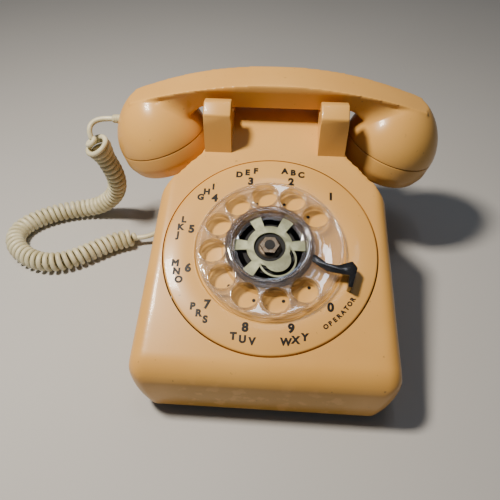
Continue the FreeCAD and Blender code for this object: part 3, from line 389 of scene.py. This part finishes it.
# Vulcanised rubber: matt black, gone grey in patches.
RUBBER = made("vulcanised_rubber", "#232124", "#312e2f", patch=6.0, rough=(0.6, 0.78), grain=0.5, relief=0.04,
              shader={"IOR": 1.52})
GREY = made("grey_nylon", "#8d8f8c", "#7e807c", patch=8.0, rough=(0.45, 0.6), grain=0.6, relief=0.02,
            shader={"IOR": 1.53})
BAKELITE = made("moulded_phenolic", "#1f1a17", "#2c2420", patch=9.0,
                rough=(0.25, 0.4), grain=0.5, relief=0.02,
                shader={"IOR": 1.6})
TAPE = made("varnished_coil_tape", "#4a2f1f", "#38231a", patch=3.0, rough=(0.35, 0.5), grain=0.3, relief=0.05,
            shader={"IOR": 1.5})
ALUMINIUM = made("spun_aluminium", "#c4c5c6", "#aeb0b1", patch=6.0, rough=(0.3, 0.42), grain=0.4, relief=0.01,
                 shader={"Metallic": 1.0})
WHITE_NYLON = made("natural_nylon", "#e6e1d3", "#d9d2bf", patch=5.0,
                   rough=(0.3, 0.42), grain=0.6, relief=0.02,
                   shader={"IOR": 1.53, "Subsurface Weight": 0.15,
                           "Subsurface Radius": (0.002, 0.0015, 0.001)})
# Hot-stamped ink: flat black that sits on the plastic.
INK = made("stamped_black_ink", "#0c0a08", "#15120e", patch=3.0, rough=(0.4, 0.55), grain=0.3, relief=0.005,
           shader={"IOR": 1.3})
# Plasticised PVC jacket: waxy ivory, with grime that has settled in patches along it.
IVORY = made("ivory_pvc_jacket", "#d8d2b2", "#bdb48f", patch=11.0, rough=(0.38, 0.52), grain=0.7, relief=0.03,
             shader={"IOR": 1.53, "Subsurface Weight": 0.12, "Subsurface Radius": (0.003, 0.002, 0.0012)})

NODE_FINISHES = {
    ZINC: ["base_plate", "ringer_frame", "dial_bracket", "hook_bracket", "hook_lever", "gear_bridge",
           "housing_screws"],
    BRASS: ["loudness_axle", "gong_posts", "clapper", "network_terminals", "main_gear", "pulse_wheel",
            "governor_rotor", "governor_drum"],
    GONG: ["gong_left", "gong_right"],
    STEEL: ["clapper_pivot", "hook_pivot_pin"],
    OLD_STEEL: ["centre_nut"],
    BLACKENED: ["dial_frame", "dial_shaft"],
    SPRING: ["clamp_spring", "mainspring"],
    RUBBER: ["rubber_feet", "line_cord_grommet", "handset_cord_grommet"],
    GREY: ["loudness_wheel"],
    BAKELITE: ["network_box", "contact_pile", "pulse_contacts", "transmitter_cup"],
    TAPE: ["ringer_coil"],
    ALUMINIUM: ["transmitter_unit", "receiver_unit"],
    WHITE_NYLON: ["plunger_left", "plunger_right"],
}
for node_finish, node_names in NODE_FINISHES.items():
    for node_name in node_names:
        for node_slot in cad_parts[node_name].material_slots:
            node_slot.material = node_finish


# ---------------------------------------------------------------- camera, floor and lights
def stage_and_lights():
    camera = bpy.data.objects.new("camera", bpy.data.cameras.new("camera"))
    camera.location = (0.00188, -0.2456, 0.2788)
    camera.rotation_euler = (math.radians(44.9), 0, math.radians(3.7))
    camera.data.lens = 36
    camera.data.sensor_width = 36
    camera.data.clip_start = 0.01
    bpy.context.scene.collection.objects.link(camera)
    bpy.context.scene.camera = camera

    ground = bmesh.new()
    bmesh.ops.create_grid(ground, x_segments=1, y_segments=1, size=4)
    floor = work(ground)
    floor.name = "floor"
    floor.data.materials.append(made("pale_floor", "#b4b3b1", "#afaeac", patch=400.0, rough=(0.6, 0.7),
                                     grain=30.0, relief=0.01))

    lamps = [  # name, place, aimed at, width, depth, watts, colour
        ("window", (-0.28, -0.06, 0.62), (0.0, 0.0, 0.05), 0.09, 0.09, 7.0, "#fff4e4"),
        ("ceiling", (0.0, 0.07, 1.25), (0.0, -0.03, 0.07), 0.05, 0.26, 0.6, "#eef4ff"),
        ("shelf", (0.17, 0.04, 1.25), (0.03, -0.03, 0.07), 0.05, 0.20, 0.5, "#eef4ff"),
    ]
    for name, place, target, width, depth, watts, colour in lamps:
        light = bpy.data.lights.new(name, "AREA")
        light.shape = "RECTANGLE"
        light.size, light.size_y = width, depth
        light.energy = watts
        light.color = linear(colour)[:3]
        lamp = bpy.data.objects.new(name, light)
        lamp.location = place
        lamp.rotation_euler = (Vector(target) - Vector(place)).to_track_quat("-Z", "Y").to_euler()
        bpy.context.scene.collection.objects.link(lamp)
    world = bpy.data.worlds.new("room_light")
    world.use_nodes = True
    world.node_tree.nodes["Background"].inputs["Color"].default_value = linear("#ccd4de")
    world.node_tree.nodes["Background"].inputs["Strength"].default_value = 0.14
    bpy.context.scene.world = world


# ---------------------------------------------------------------- the handset cord
LEAD_TOP = [(-0.1145, 0.061, 0.095), (-0.120, 0.061, 0.095), (-0.1268, 0.0595, 0.0945),
            (-0.1308, 0.0555, 0.0922), (-0.1303, 0.0515, 0.087), (-0.1275, 0.0505, 0.0812),
            (-0.1254, 0.0525, 0.0745)]
COIL = [(-0.1254, 0.0525, 0.0745), (-0.1230, 0.0547, 0.063), (-0.1206, 0.057, 0.0505),
        (-0.1214, 0.0596, 0.0385), (-0.1258, 0.0628, 0.027), (-0.1338, 0.0648, 0.017),
        (-0.1446, 0.0652, 0.010), (-0.1575, 0.0642, 0.0076), (-0.171, 0.0604, 0.0075),
        (-0.184, 0.0538, 0.0075), (-0.1948, 0.045, 0.0075), (-0.2008, 0.034, 0.0075),
        (-0.1994, 0.0224, 0.0075), (-0.1916, 0.0122, 0.0075), (-0.1802, 0.0048, 0.0075),
        (-0.1676, 0.0012, 0.0075), (-0.1552, 0.003, 0.0075), (-0.1442, 0.0094, 0.0075),
        (-0.1336, 0.0178, 0.0075), (-0.123, 0.0256, 0.0075), (-0.1128, 0.0306, 0.0075),
        (-0.104, 0.0322, 0.0076)]
LEAD_BASE = [(-0.104, 0.0322, 0.0076), (-0.09696, 0.03348, 0.00768), (-0.0902, 0.0352, 0.0104),
             (-0.083, 0.036, 0.014), (-0.07719, 0.036, 0.014)]
COIL_RADIUS = 0.0055        # from the coil's middle to the middle of the wire
COIL_PITCH = 0.0045
COIL_STEPS = 20             # points for each turn
COIL_START, COIL_END = 0.026, 0.0285    # how far the coil begins from the handset and ends from the base
SPRUNG_OPEN = 0.45          # how much wider the first turns are than the rest


def smooth_line(points, steps=12, thick=0.0):
    """A mesh of one smooth spline: its line, or a round wire along it."""
    curve = bpy.data.curves.new("line", "CURVE")
    curve.dimensions = "3D"
    curve.resolution_u = steps
    curve.bevel_depth = thick
    curve.bevel_resolution = 3
    curve.use_fill_caps = True
    spline = curve.splines.new("NURBS")
    spline.points.add(len(points) - 1)
    for point, spot in zip(spline.points, points):
        point.co = (*spot, 1.0)
    spline.order_u = 3
    spline.use_endpoint_u = True
    holder = bpy.data.objects.new("line", curve)
    mesh = bpy.data.meshes.new_from_object(holder)
    bpy.data.objects.remove(holder)
    return mesh


def even_steps(line, step):
    """Places and headings along a line, about one step apart."""
    gaps = [(line[k + 1] - line[k]).length for k in range(len(line) - 1)]
    total = sum(gaps)
    count = round(total / step)
    out, at, gone = [], 0, 0.0
    for k in range(count + 1):
        want = total * k / count
        while at < len(gaps) - 1 and gone + gaps[at] < want:
            gone += gaps[at]
            at += 1
        heading = (line[at + 1] - line[at]).normalized()
        out.append((want, line[at] + heading * (want - gone), heading))
    return out, total


def handset_cord():
    """One PVC-jacketed wire from the handset to the base, wound into close turns between its leads."""
    route = [Vector(vert.co) for vert in smooth_line(LEAD_TOP + COIL[1:] + LEAD_BASE[1:]).vertices]
    steps, total = even_steps(route, COIL_PITCH / COIL_STEPS)
    across = Vector((0, 1, 0))
    wire = []
    for k, (gone, spot, heading) in enumerate(steps):
        across = (across - heading * across.dot(heading)).normalized()
        last = total - COIL_END
        if not COIL_START < gone < last:
            if k % COIL_STEPS == 0 or k == len(steps) - 1:
                wire.append(spot)
            continue
        swell = ease(gone, COIL_START, COIL_START + 0.007) * (1 - ease(gone, last - 0.007, last))
        settled = ease(gone, COIL_START + 0.006, COIL_START + 0.022)
        swell *= 1 + SPRUNG_OPEN * (1 - settled)
        turn = FULL * (gone - COIL_START) / COIL_PITCH
        out = across * math.cos(turn) + heading.cross(across) * math.sin(turn)
        wire.append(spot + out * COIL_RADIUS * swell)
    path = [Vector(vert.co) for vert in smooth_line(wire, 2).vertices]
    mesh = smooth_line(wire, 2, CORD_RADIUS * MM)
    cord = bpy.data.objects.new("handset_cord", mesh)
    bpy.context.scene.collection.objects.link(cord)
    mesh.materials.clear()
    mesh.materials.append(IVORY)
    mesh.shade_smooth()
    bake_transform(cord)
    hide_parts("cord_lead_handset", "cord_curly", "cord_lead_base")
    boot = strain_relief()


def strain_relief():
    """A tapered, ribbed sleeve where the cord leaves the handset's cup."""
    along = Matrix.Translation((-BOOT_X, CRADLE_Y, BOOT_Z)) @ Matrix.Rotation(-math.pi / 2, 4, "Y")
    corners = [(0, 0.1, 0), (3.5, 0.1, 0.2), (3.5, 1.6, 0.3)]
    for rib in range(4):
        low = 2.2 + rib * 1.9
        corners += [(3.2 - 0.12 * rib, low, 0.2), (3.4 - 0.14 * rib, low + 0.6, 0.2),
                    (3.2 - 0.14 * rib, low + 1.3, 0.2)]
    corners += [(2.75, 9.4, 0.3), (2.2, 10.2, 0.2), (0, 10.2, 0)]
    return piece(spun(corners, 40), "cord_strain_relief", IVORY, "handset",
                 ["handset_cord_boot"], place=along)


# ---------------------------------------------------------------- housing
def body_form(shrink, edge):
    """The housing's block in straight walls, smaller by shrink, with its long side edges rounded."""
    lower = shrink / math.cos(DIAL_TILT)
    level = SADDLE_Z - shrink
    slope_top = DIAL_Y + (level + lower - slope_z(DIAL_Y)) / math.tan(DIAL_TILT)
    profile = [
        (-HALF_DEPTH + shrink, -9, 0),
        (-HALF_DEPTH + shrink, slope_z(-HALF_DEPTH) - lower, NOSE_ROUND - shrink),
        (slope_top, level, 30),
        (81, level, 5),
        (93 - shrink, level - 7.7, 4),
        (107.4 - shrink, 52, 12),
        (HALF_DEPTH - shrink, -9, 0),
    ]
    half = HALF_WIDTH - shrink
    block = slab(profile, "YZ", -half, half)
    if edge:
        long_edges = [e for e in block.edges if abs(e.verts[0].co.x - e.verts[1].co.x) < 1e-6
                      and min(v.co.y for v in e.verts) < NECK_FOOT and min(v.co.z for v in e.verts) > 0]
        edge_rounded(block, long_edges, edge, 8)
    deep = HALF_DEPTH - shrink
    turn = CORNER_ROUND - shrink
    corners = [(x * (half + 0.4), y * (deep + 0.4), turn) for x, y in ((-1, -1), (1, -1), (1, 1), (-1, 1))]
    plan = slab(corners, "XY", -12, 130)
    form = carve(work(block), plan, "INTERSECT")
    for side in (-1, 1):
        carve(form, scoop(side, shrink))
    return form


def scoop(side, shrink):
    """The space beside the neck, where a handset cup hangs; its floor falls away outwards."""
    neck, foot, run, far = NECK - shrink, NECK_FOOT - shrink, 24.0, 160.0
    corners = [(side * neck, 220, 0), (side * neck, foot, 7), (side * (neck + run), foot - 0.9 * run, 0),
               (side * far, foot - 0.9 * (far - neck), 0), (side * far, 220, 0)]
    bm = slab(corners, "XY", 10, 180)
    lean = math.radians(14)
    return level_cut(bm, (side * neck, 0, 54 - shrink), (side * math.sin(lean), 0, math.cos(lean)))


def waisted(spot):
    """Draws the straight walls in towards the rim and towards the top."""
    below = max(WAIST_Z - spot.z, 0) / (WAIST_Z - RIM_Z)
    above = max(spot.z - WAIST_Z, 0) / (FORM_Z - WAIST_Z)
    inwards = RIM_INSET * below ** 2 + TOP_INSET * above ** 0.85
    aside = min(max((abs(spot.x) - NECK) / (HALF_WIDTH - NECK), 0), 1.05)
    ends = min(max((abs(spot.y) - 80) / (HALF_DEPTH - 80), 0), 1.05)
    spot.x -= math.copysign(inwards * aside, spot.x)
    spot.y -= math.copysign(RIM_INSET / 2 * below ** 2 * ends, spot.y)


def waist(obj):
    for vert in obj.data.vertices:
        waisted(vert.co)
    return obj


def ear(side):
    """The front ear and a slightly lower rear one on one side, with the handset's seat between them."""
    half = [(28, 84, 0), (29.5, EAR_Z - 5.5, 2), (37, EAR_Z, 2), (44, EAR_Z - 1.5, 1.5), (45.5, SEAT_Z, 1)]
    lower, inner, width, seat_edge = 3.4, 28.0, 17.3, 90
    mirrored = [(2 * CRADLE_Y - y, z - lower if z > SEAT_Z else z, radius) for y, z, radius in reversed(half)]
    low = min(side * inner, side * (inner + width))
    bar = slab(half + mirrored, "YZ", low, low + width)
    rims = [e for e in bar.edges if abs(e.verts[0].co.x - e.verts[1].co.x) < 1e-6 and
            min(v.co.z for v in e.verts) > seat_edge]
    return edge_rounded(bar, rims, 0.9, 3)


def housing():
    """Deep one-piece moulding: sloping dial face, neck with its four ears, scooped shoulders."""
    shell = body_form(0, 9.0)
    grip_hold = [(83, 74, 6), (83, 96, 5), (140, 96, 0), (140, 62, 0)]
    carve(shell, slab(grip_hold, "YZ", -26, 26))
    soften(shell, 1.3)
    relax(waist(shell), 6)
    for side in (-1, 1):
        carve(shell, ear(side), "UNION")
    bm = reopened(shell)
    level_cut(bm, (0, 0, RIM_Z), (0, 0, 1))
    shell.data = bpy.data.meshes.new("shell")
    bm.to_mesh(shell.data)
    bm.free()
    cavity = body_form(WALL, 0)
    room = reopened(cavity)
    for height in (0, RIM_Z, 14, 24, WAIST_Z, 56, 78, 98):
        bmesh.ops.bisect_plane(room, geom=room.verts[:] + room.edges[:] + room.faces[:],
                               plane_co=(0, 0, height), plane_no=(0, 0, 1))
    for vert in room.verts:
        waisted(vert.co)
    bpy.data.objects.remove(cavity)
    cavity = work(room)
    hold_wall = [(80.4, 71.4, 6), (80.4, 98.6, 5), (140, 98.6, 0), (140, 58, 0)]
    carve(cavity, slab(hold_wall, "YZ", -28.6, 28.6))
    carve(shell, cavity)
    carve(shell, rod(RING_RADIUS + RING_GAP, -30, 30, ON_DIAL, 160))
    for side in (-1, 1):
        carve(shell, rod(PLUNGER_HOLE, 70, 130, Matrix.Translation((side * PLUNGER_X, CRADLE_Y, 0)), 32))
    inlet = Matrix.Translation((0, *CORD_INLET)) @ Matrix.Rotation(-math.pi / 2, 4, "Y")
    carve(shell, rod(GROMMET_HOLE, 50, 90, inlet, 32))
    outlet = Matrix.Translation((LINE_OUTLET[0], 0, LINE_OUTLET[1])) @ Matrix.Rotation(-math.pi / 2, 4, "X")
    carve(shell, rod(GROMMET_HOLE, 90, 130, outlet, 32))
    piece(shell, "housing_shell", TAN_HOUSING, "base", ["housing"])


# ---------------------------------------------------------------- handset
def dome(side):
    """A cup's outside, between a hemisphere and a cone in fullness, running on down past its seam."""
    fullness = 1.7
    bm = bmesh.new()
    count = 24
    skirt = -5.0
    ring = [(0.0, skirt), (CUP_RADIUS, skirt)]
    for k in range(count):
        angle = math.pi / 2 * k / count
        ring.append((CUP_RADIUS * math.cos(angle) ** (2 / fullness),
                     CUP_HEIGHT * math.sin(angle) ** (2 / fullness)))
    ring.append((0.0, CUP_HEIGHT))
    verts = [bm.verts.new((r, 0, z)) for r, z in ring]
    for k in range(len(verts) - 1):
        bm.edges.new(verts[k:k + 2])
    bmesh.ops.spin(bm, geom=bm.verts[:] + bm.edges[:], cent=(0, 0, 0), axis=(0, 0, 1), angle=FULL,
                   steps=96, use_merge=True, use_duplicate=False)
    bmesh.ops.remove_doubles(bm, verts=bm.verts, dist=1e-4)
    bmesh.ops.recalc_face_normals(bm, faces=bm.faces)
    bmesh.ops.transform(bm, matrix=on_cup(side), verts=bm.verts)
    return bm


def arch_z(x):
    return 130.4 - x * x / 544


def grip():
    """The handle between the cups: arched on top, hollowed towards the cups below."""
    reach, low = 98.0, 88.0
    top = [(x, arch_z(x), 0) for x in (reach * (1 - k / 32) for k in range(65))]
    sole = [(-reach, low, 0), (-66, low, 4), (-58.5, 104.5, 9), (-49, 112.6, 9),
            (49, 112.6, 9), (58.5, 104.5, 9), (66, low, 4), (reach, low, 0)]
    bar = work(slab(top + sole, "XZ", 30, 92))
    middle = CRADLE_Y
    section = [(middle - 14, 140, 0), (middle - 14, 126, 3),
               (middle - 10.5, 112, 3.5), (middle - 10.5, 70, 0),
               (middle + 10.5, 70, 0), (middle + 10.5, 112, 3.5),
               (middle + 14, 126, 3), (middle + 14, 140, 0)]
    return carve(bar, slab(section, "YZ", -130, 130), "INTERSECT")


def smooth_places(bm, verts, passes):
    for _ in range(passes):
        bmesh.ops.smooth_vert(bm, verts=verts, factor=0.5, use_axis_x=True, use_axis_y=True, use_axis_z=True)


def fill_valleys(obj):
    """Eases the handle's sides into the cups, as the mould does, where the two forms meet."""
    bm = reopened(obj)
    near = [vert for vert in bm.verts if 42 < abs(vert.co.x) < 80 and abs(vert.co.y - CRADLE_Y) > 9
            and 90 < vert.co.z < arch_z(vert.co.x) - 4]
    bm.normal_update()
    before = [(vert.co.copy(), vert.normal.copy()) for vert in near]
    smooth_places(bm, near, 260)
    for vert, (place, outwards) in zip(near, before):
        if (vert.co - place).dot(outwards) < 0:      # only valleys fill; nothing is worn down
            vert.co = place
    smooth_places(bm, near, 6)
    bm.to_mesh(obj.data)
    bm.free()
    return obj


def handset_shell():
    """The handle and both cups in one moulding, every edge eased, open at the two cup seams."""
    shell = grip()
    for side in (-1, 1):
        carve(shell, dome(side), "UNION")
    span = 125.0
    arch = [(x, arch_z(x), 0) for x in (span * (1 - k / 40) for k in range(81))]
    carve(shell, slab(arch + [(-span, 40, 0), (span, 40, 0)], "XZ", 20, 110), "INTERSECT")
    soften(shell, 0.75)
    fill_valleys(relax(shell, 10))
    for side in (-1, 1):
        carve(shell, rod(60, -40, 0, on_cup(side), 32))
        carve(shell, rod(25.6, -8, 12, on_cup(side), 64))
        carve(shell, placed_ring(side), "UNION")
    piece(shell, "handset_shell_moulding", TAN_HANDSET, "handset", ["handset_shell"])


def placed_ring(side):
    """The threaded spigot that a cap screws on to."""
    ring = spun([(25.7, -6, 0), (28.5, -6, 0.4), (28.5, 3, 0), (25.7, 3, 0)], 96)
    bmesh.ops.transform(ring, matrix=on_cup(side), verts=ring.verts)
    return ring


def cap(side, name, node):
    """A screw-on cap: a full rolled side with a light lip at the seam, and sound holes in a dished end."""
    corners = [(0, -20.2, 0), (16, -20.4, 3), (22, -21.2, 3), (28.2, -19.6, 6), (31.9, -11.0, 9),
               (CUP_RADIUS, -0.8, 0.5), (28.8, -0.8, 0.3), (28.8, -11.5, 2), (24.5, -17.2, 2), (0, -17.6, 0)]
    shell = work(spun(corners, 128))
    sound_hole, holes_round, holes_out = 1.6, 6, 8
    drills = [rod(sound_hole, -24, -10, None, 20)]
    for k in range(holes_round):
        spot = Matrix.Rotation(k * FULL / holes_round, 4, "Z") @ Matrix.Translation((holes_out, 0, 0))
        drills.append(rod(sound_hole, -24, -10, spot, 20))
    carve(shell, several(drills))
    piece(shell, name, TAN_HANDSET, "handset", [node], place=on_cup(side))


# ---------------------------------------------------------------- dial
FIRST_DIGIT = 46.5          # degrees; each number is 30 degrees on from the one before
FIRST_HOLE = 38.0
HOLE_PITCH, HOLE_RADIUS = 33.5, 7.5
STEP = 30.0
HUB_EDGE = 26.4             # inside this radius the wheel is ridged


def around(radius, degrees, height=0.0):
    angle = math.radians(degrees)
    return (radius * math.cos(angle), radius * math.sin(angle), height)


def number_ring():
    """The round plate that carries the numbers, with a rolled bezel and a shallow recess for the wheel."""
    corners = [(22, -1.8, 0), (29, -1.8, 0), (30, -3.3, 0), (47.1, -3.3, 0), (48.1, -1.8, 0), (61.1, -1.8, 0),
               (61.1, -6, 0), (RING_RADIUS, -6, 0), (RING_RADIUS, 0, 1.1), (44.7, 0, 0.4), (43.9, -1.5, 0.4),
               (28.7, -1.5, 0.5), (27.3, 0, 0.4), (22, 0, 0.3)]
    piece(spun(corners, 192), "number_plate", TAN_HOUSING, "base", ["number_ring"],
          place=ON_DIAL, sharp=50)


PRINT_THICK = 0.04


def glyph(letter, height, spot, turn=0.0, weight=0.2):
    """One printed character as a thin closed form, its middle at the spot."""
    text = bpy.data.curves.new("glyph", "FONT")
    text.body = letter
    text.size = height / 0.7
    text.align_x = "CENTER"
    text.bevel_depth = weight
    text.bevel_resolution = 2
    text.resolution_u = 6
    holder = bpy.data.objects.new("glyph", text)
    mesh = bpy.data.meshes.new_from_object(holder)
    bpy.data.objects.remove(holder)
    bm = bmesh.new()
    bm.from_mesh(mesh)
    bpy.data.meshes.remove(mesh)
    bmesh.ops.remove_doubles(bm, verts=bm.verts, dist=1e-4)
    bmesh.ops.translate(bm, vec=(0, -height / 2, 0), verts=bm.verts)
    bmesh.ops.scale(bm, vec=(1, 1, PRINT_THICK / weight), verts=bm.verts)
    bmesh.ops.transform(bm, matrix=Matrix.Translation(spot) @ Matrix.Rotation(turn, 4, "Z"), verts=bm.verts)
    return bm


def numerals():
    """Ten digits, their letter groups and a word for the operator, printed upright on the plate."""
    print_z = 0.03
    marks = []
    groups = ["", "ABC", "DEF", "GHI", "JKL", "MNO", "PRS", "TUV", "WXY", ""]
    for k, letters in enumerate(groups):
        angle = FIRST_DIGIT + k * STEP
        digit = "I" if k == 0 else str((k + 1) % 10)
        radius = 52.6 if k == 0 else 49.1
        marks.append(glyph(digit, 4.9, around(radius, angle, print_z), weight=0.43))
        onward = -1 if angle < 180 else 1
        for n, letter in enumerate(letters):
            spot = around(56.0, angle + 0.6 + onward * 5.5 * (n - 1), print_z)
            marks.append(glyph(letter, 3.9, spot, weight=0.36))
    for n, letter in enumerate("OPERATOR"):
        angle = 306.1 + 3.3 * n
        marks.append(glyph(letter, 2.5, around(55.9, angle, print_z), math.radians(angle + 90), 0.22))
    piece(several(marks), "dial_numerals", INK, "base", place=ON_DIAL)
    dots = []
    for k in range(10):
        dots.append(rod(1.05, -1.56, -1.44, Matrix.Translation(around(32.6, FIRST_DIGIT + k * STEP)), 24))
    piece(several(dots), "finger_dots", INK, "base", place=ON_DIAL)


def finger_wheel():
    """Clear moulded wheel: ten finger holes with thick rolled rims round an upstanding hub."""
    corners = [(19.2, 1, 0.2), (25.2, 1, 0.4), (25.2, 3.5, 0.5), (41.4, 3.5, 0.3), (41.6, 1.6, 0.3),
               (43.2, 1.6, 0.5), (43.2, 5.5, 1.0), (42.0, 6.1, 0.4), (41.3, 5.5, 0.3),
               (26.6, 5.5, 0.8), (26.0, 6.5, 0.2),
               (25.5, 6.6, 0.2), (25.2, 7.5, 0.2), (24.7, 7.6, 0.2), (24.4, 8.5, 0.3), (23.6, 8.6, 0.3),
               (22.9, 8.0, 0.2), (22.2, 8.1, 0.3), (21.2, 2.4, 0.8), (19.2, 2.4, 0.3)]
    wheel = work(spun(corners, 160))
    places = [Matrix.Translation(around(HOLE_PITCH, FIRST_HOLE + k * STEP)) for k in range(10)]
    carve(wheel, several([rod(8.0, -2, 12, place, 64) for place in places]))
    rims = []
    for place in places:
        rim = spun([(HOLE_RADIUS, 0.6, 0.3), (8.5, 0.6, 0.3), (8.62, 5.0, 0), (8.62, 6.5, 0.55),
                    (HOLE_RADIUS, 6.5, 0.55)], 56)
        bmesh.ops.transform(rim, matrix=place, verts=rim.verts)
        rims.append(rim)
    carve(wheel, several(rims), "UNION")
    piece(wheel, "clear_finger_wheel", CLEAR, "dial", ["finger_wheel"], place=ON_DIAL,
          sharp=40)
    wheel.data.materials.append(HUB)
    off_dial = ON_DIAL.inverted() @ Matrix.Scale(1 / MM, 4)
    for face in wheel.data.polygons:
        if (off_dial @ face.center).to_2d().length < HUB_EDGE:
            face.material_index = 1


def wheel_clamp():
    """Stamped plate that holds the wheel: a collar with five arms and a sprung round tab."""
    low, high = 2.5, 3.7
    plate = work(slab([(*around(13.6, 6 * k)[:2], 0) for k in range(60)], "XY", low, high))
    for angle in (5, 60, 118, 178, 235):
        arm = slab([(10, -2.5, 0), (20.5, -3.6, 0.6), (20.9, 0, 0), (20.5, 3.6, 0.6), (10, 2.5, 0)],
                   "XY", low, high)
        aim = Matrix.Rotation(math.radians(angle), 3, "Z")
        bmesh.ops.rotate(arm, cent=(0, 0, 0), matrix=aim, verts=arm.verts)
        carve(plate, arm, "UNION")
    tab = Matrix.Translation(around(9.0, 302))
    carve(plate, rod(11.2, low, high, tab, 64), "UNION")
    slot = carve(work(rod(10.1, low - 1, high + 1, tab, 64)), rod(7.9, low - 2, high + 2, tab, 64))
    carve(slot, rod(12.2, low - 2, high + 2, None, 64))
    carve(plate, slot)
    carve(plate, rod(9.3, low - 1, high + 1, None, 64))
    edge_broken(plate, 0.14, 2)
    piece(plate, "wheel_clamp_plate", ZINC, "dial", ["wheel_clamp"], place=ON_DIAL)
    washer = spun([(3.1, 1.6, 0), (6.9, 1.6, 0.2), (6.9, 2.6, 0.3), (5.6, 3.3, 0.3), (3.1, 3.3, 0)], 64)
    piece(washer, "clamp_washer", OLD_STEEL, "dial", place=ON_DIAL)


def finger_stop():
    """Enamelled steel hook that the finger runs up against, hung over the wheel from the plate."""
    level = 6.7
    blade = slab([(24.9, -4.6, 1.2), (33.2, -10.6, 6), (39.0, -11.6, 6), (47.2, -8.6, 1), (50.0, -12.6, 1),
                  (47.0, -17.6, 1), (40.0, -16.4, 4), (33.0, -15.4, 6), (24.4, -9.4, 1.2)],
                 "XY", level, level + 1.2)
    leg = slab([(46.2, -10.2, 0.3), (50.0, -12.6, 0.3), (46.6, -24.6, 0.6), (44.4, -23.8, 0.6)],
               "XY", 0, level + 1.0)
    stop = carve(work(blade), leg, "UNION")
    carve(stop, rod(44.0, -2, level - 0.2, None, 160))
    edge_broken(stop, 0.28, 3)
    piece(stop, "finger_stop_hook", ENAMEL, "base", ["finger_stop"], place=ON_DIAL)


stage_and_lights()
handset_cord()
housing()
handset_shell()
cap(-1, "transmitter_cap_moulding", "transmitter_cap")
cap(1, "receiver_cap_moulding", "receiver_cap")
number_ring()
numerals()
finger_wheel()
wheel_clamp()
finger_stop()
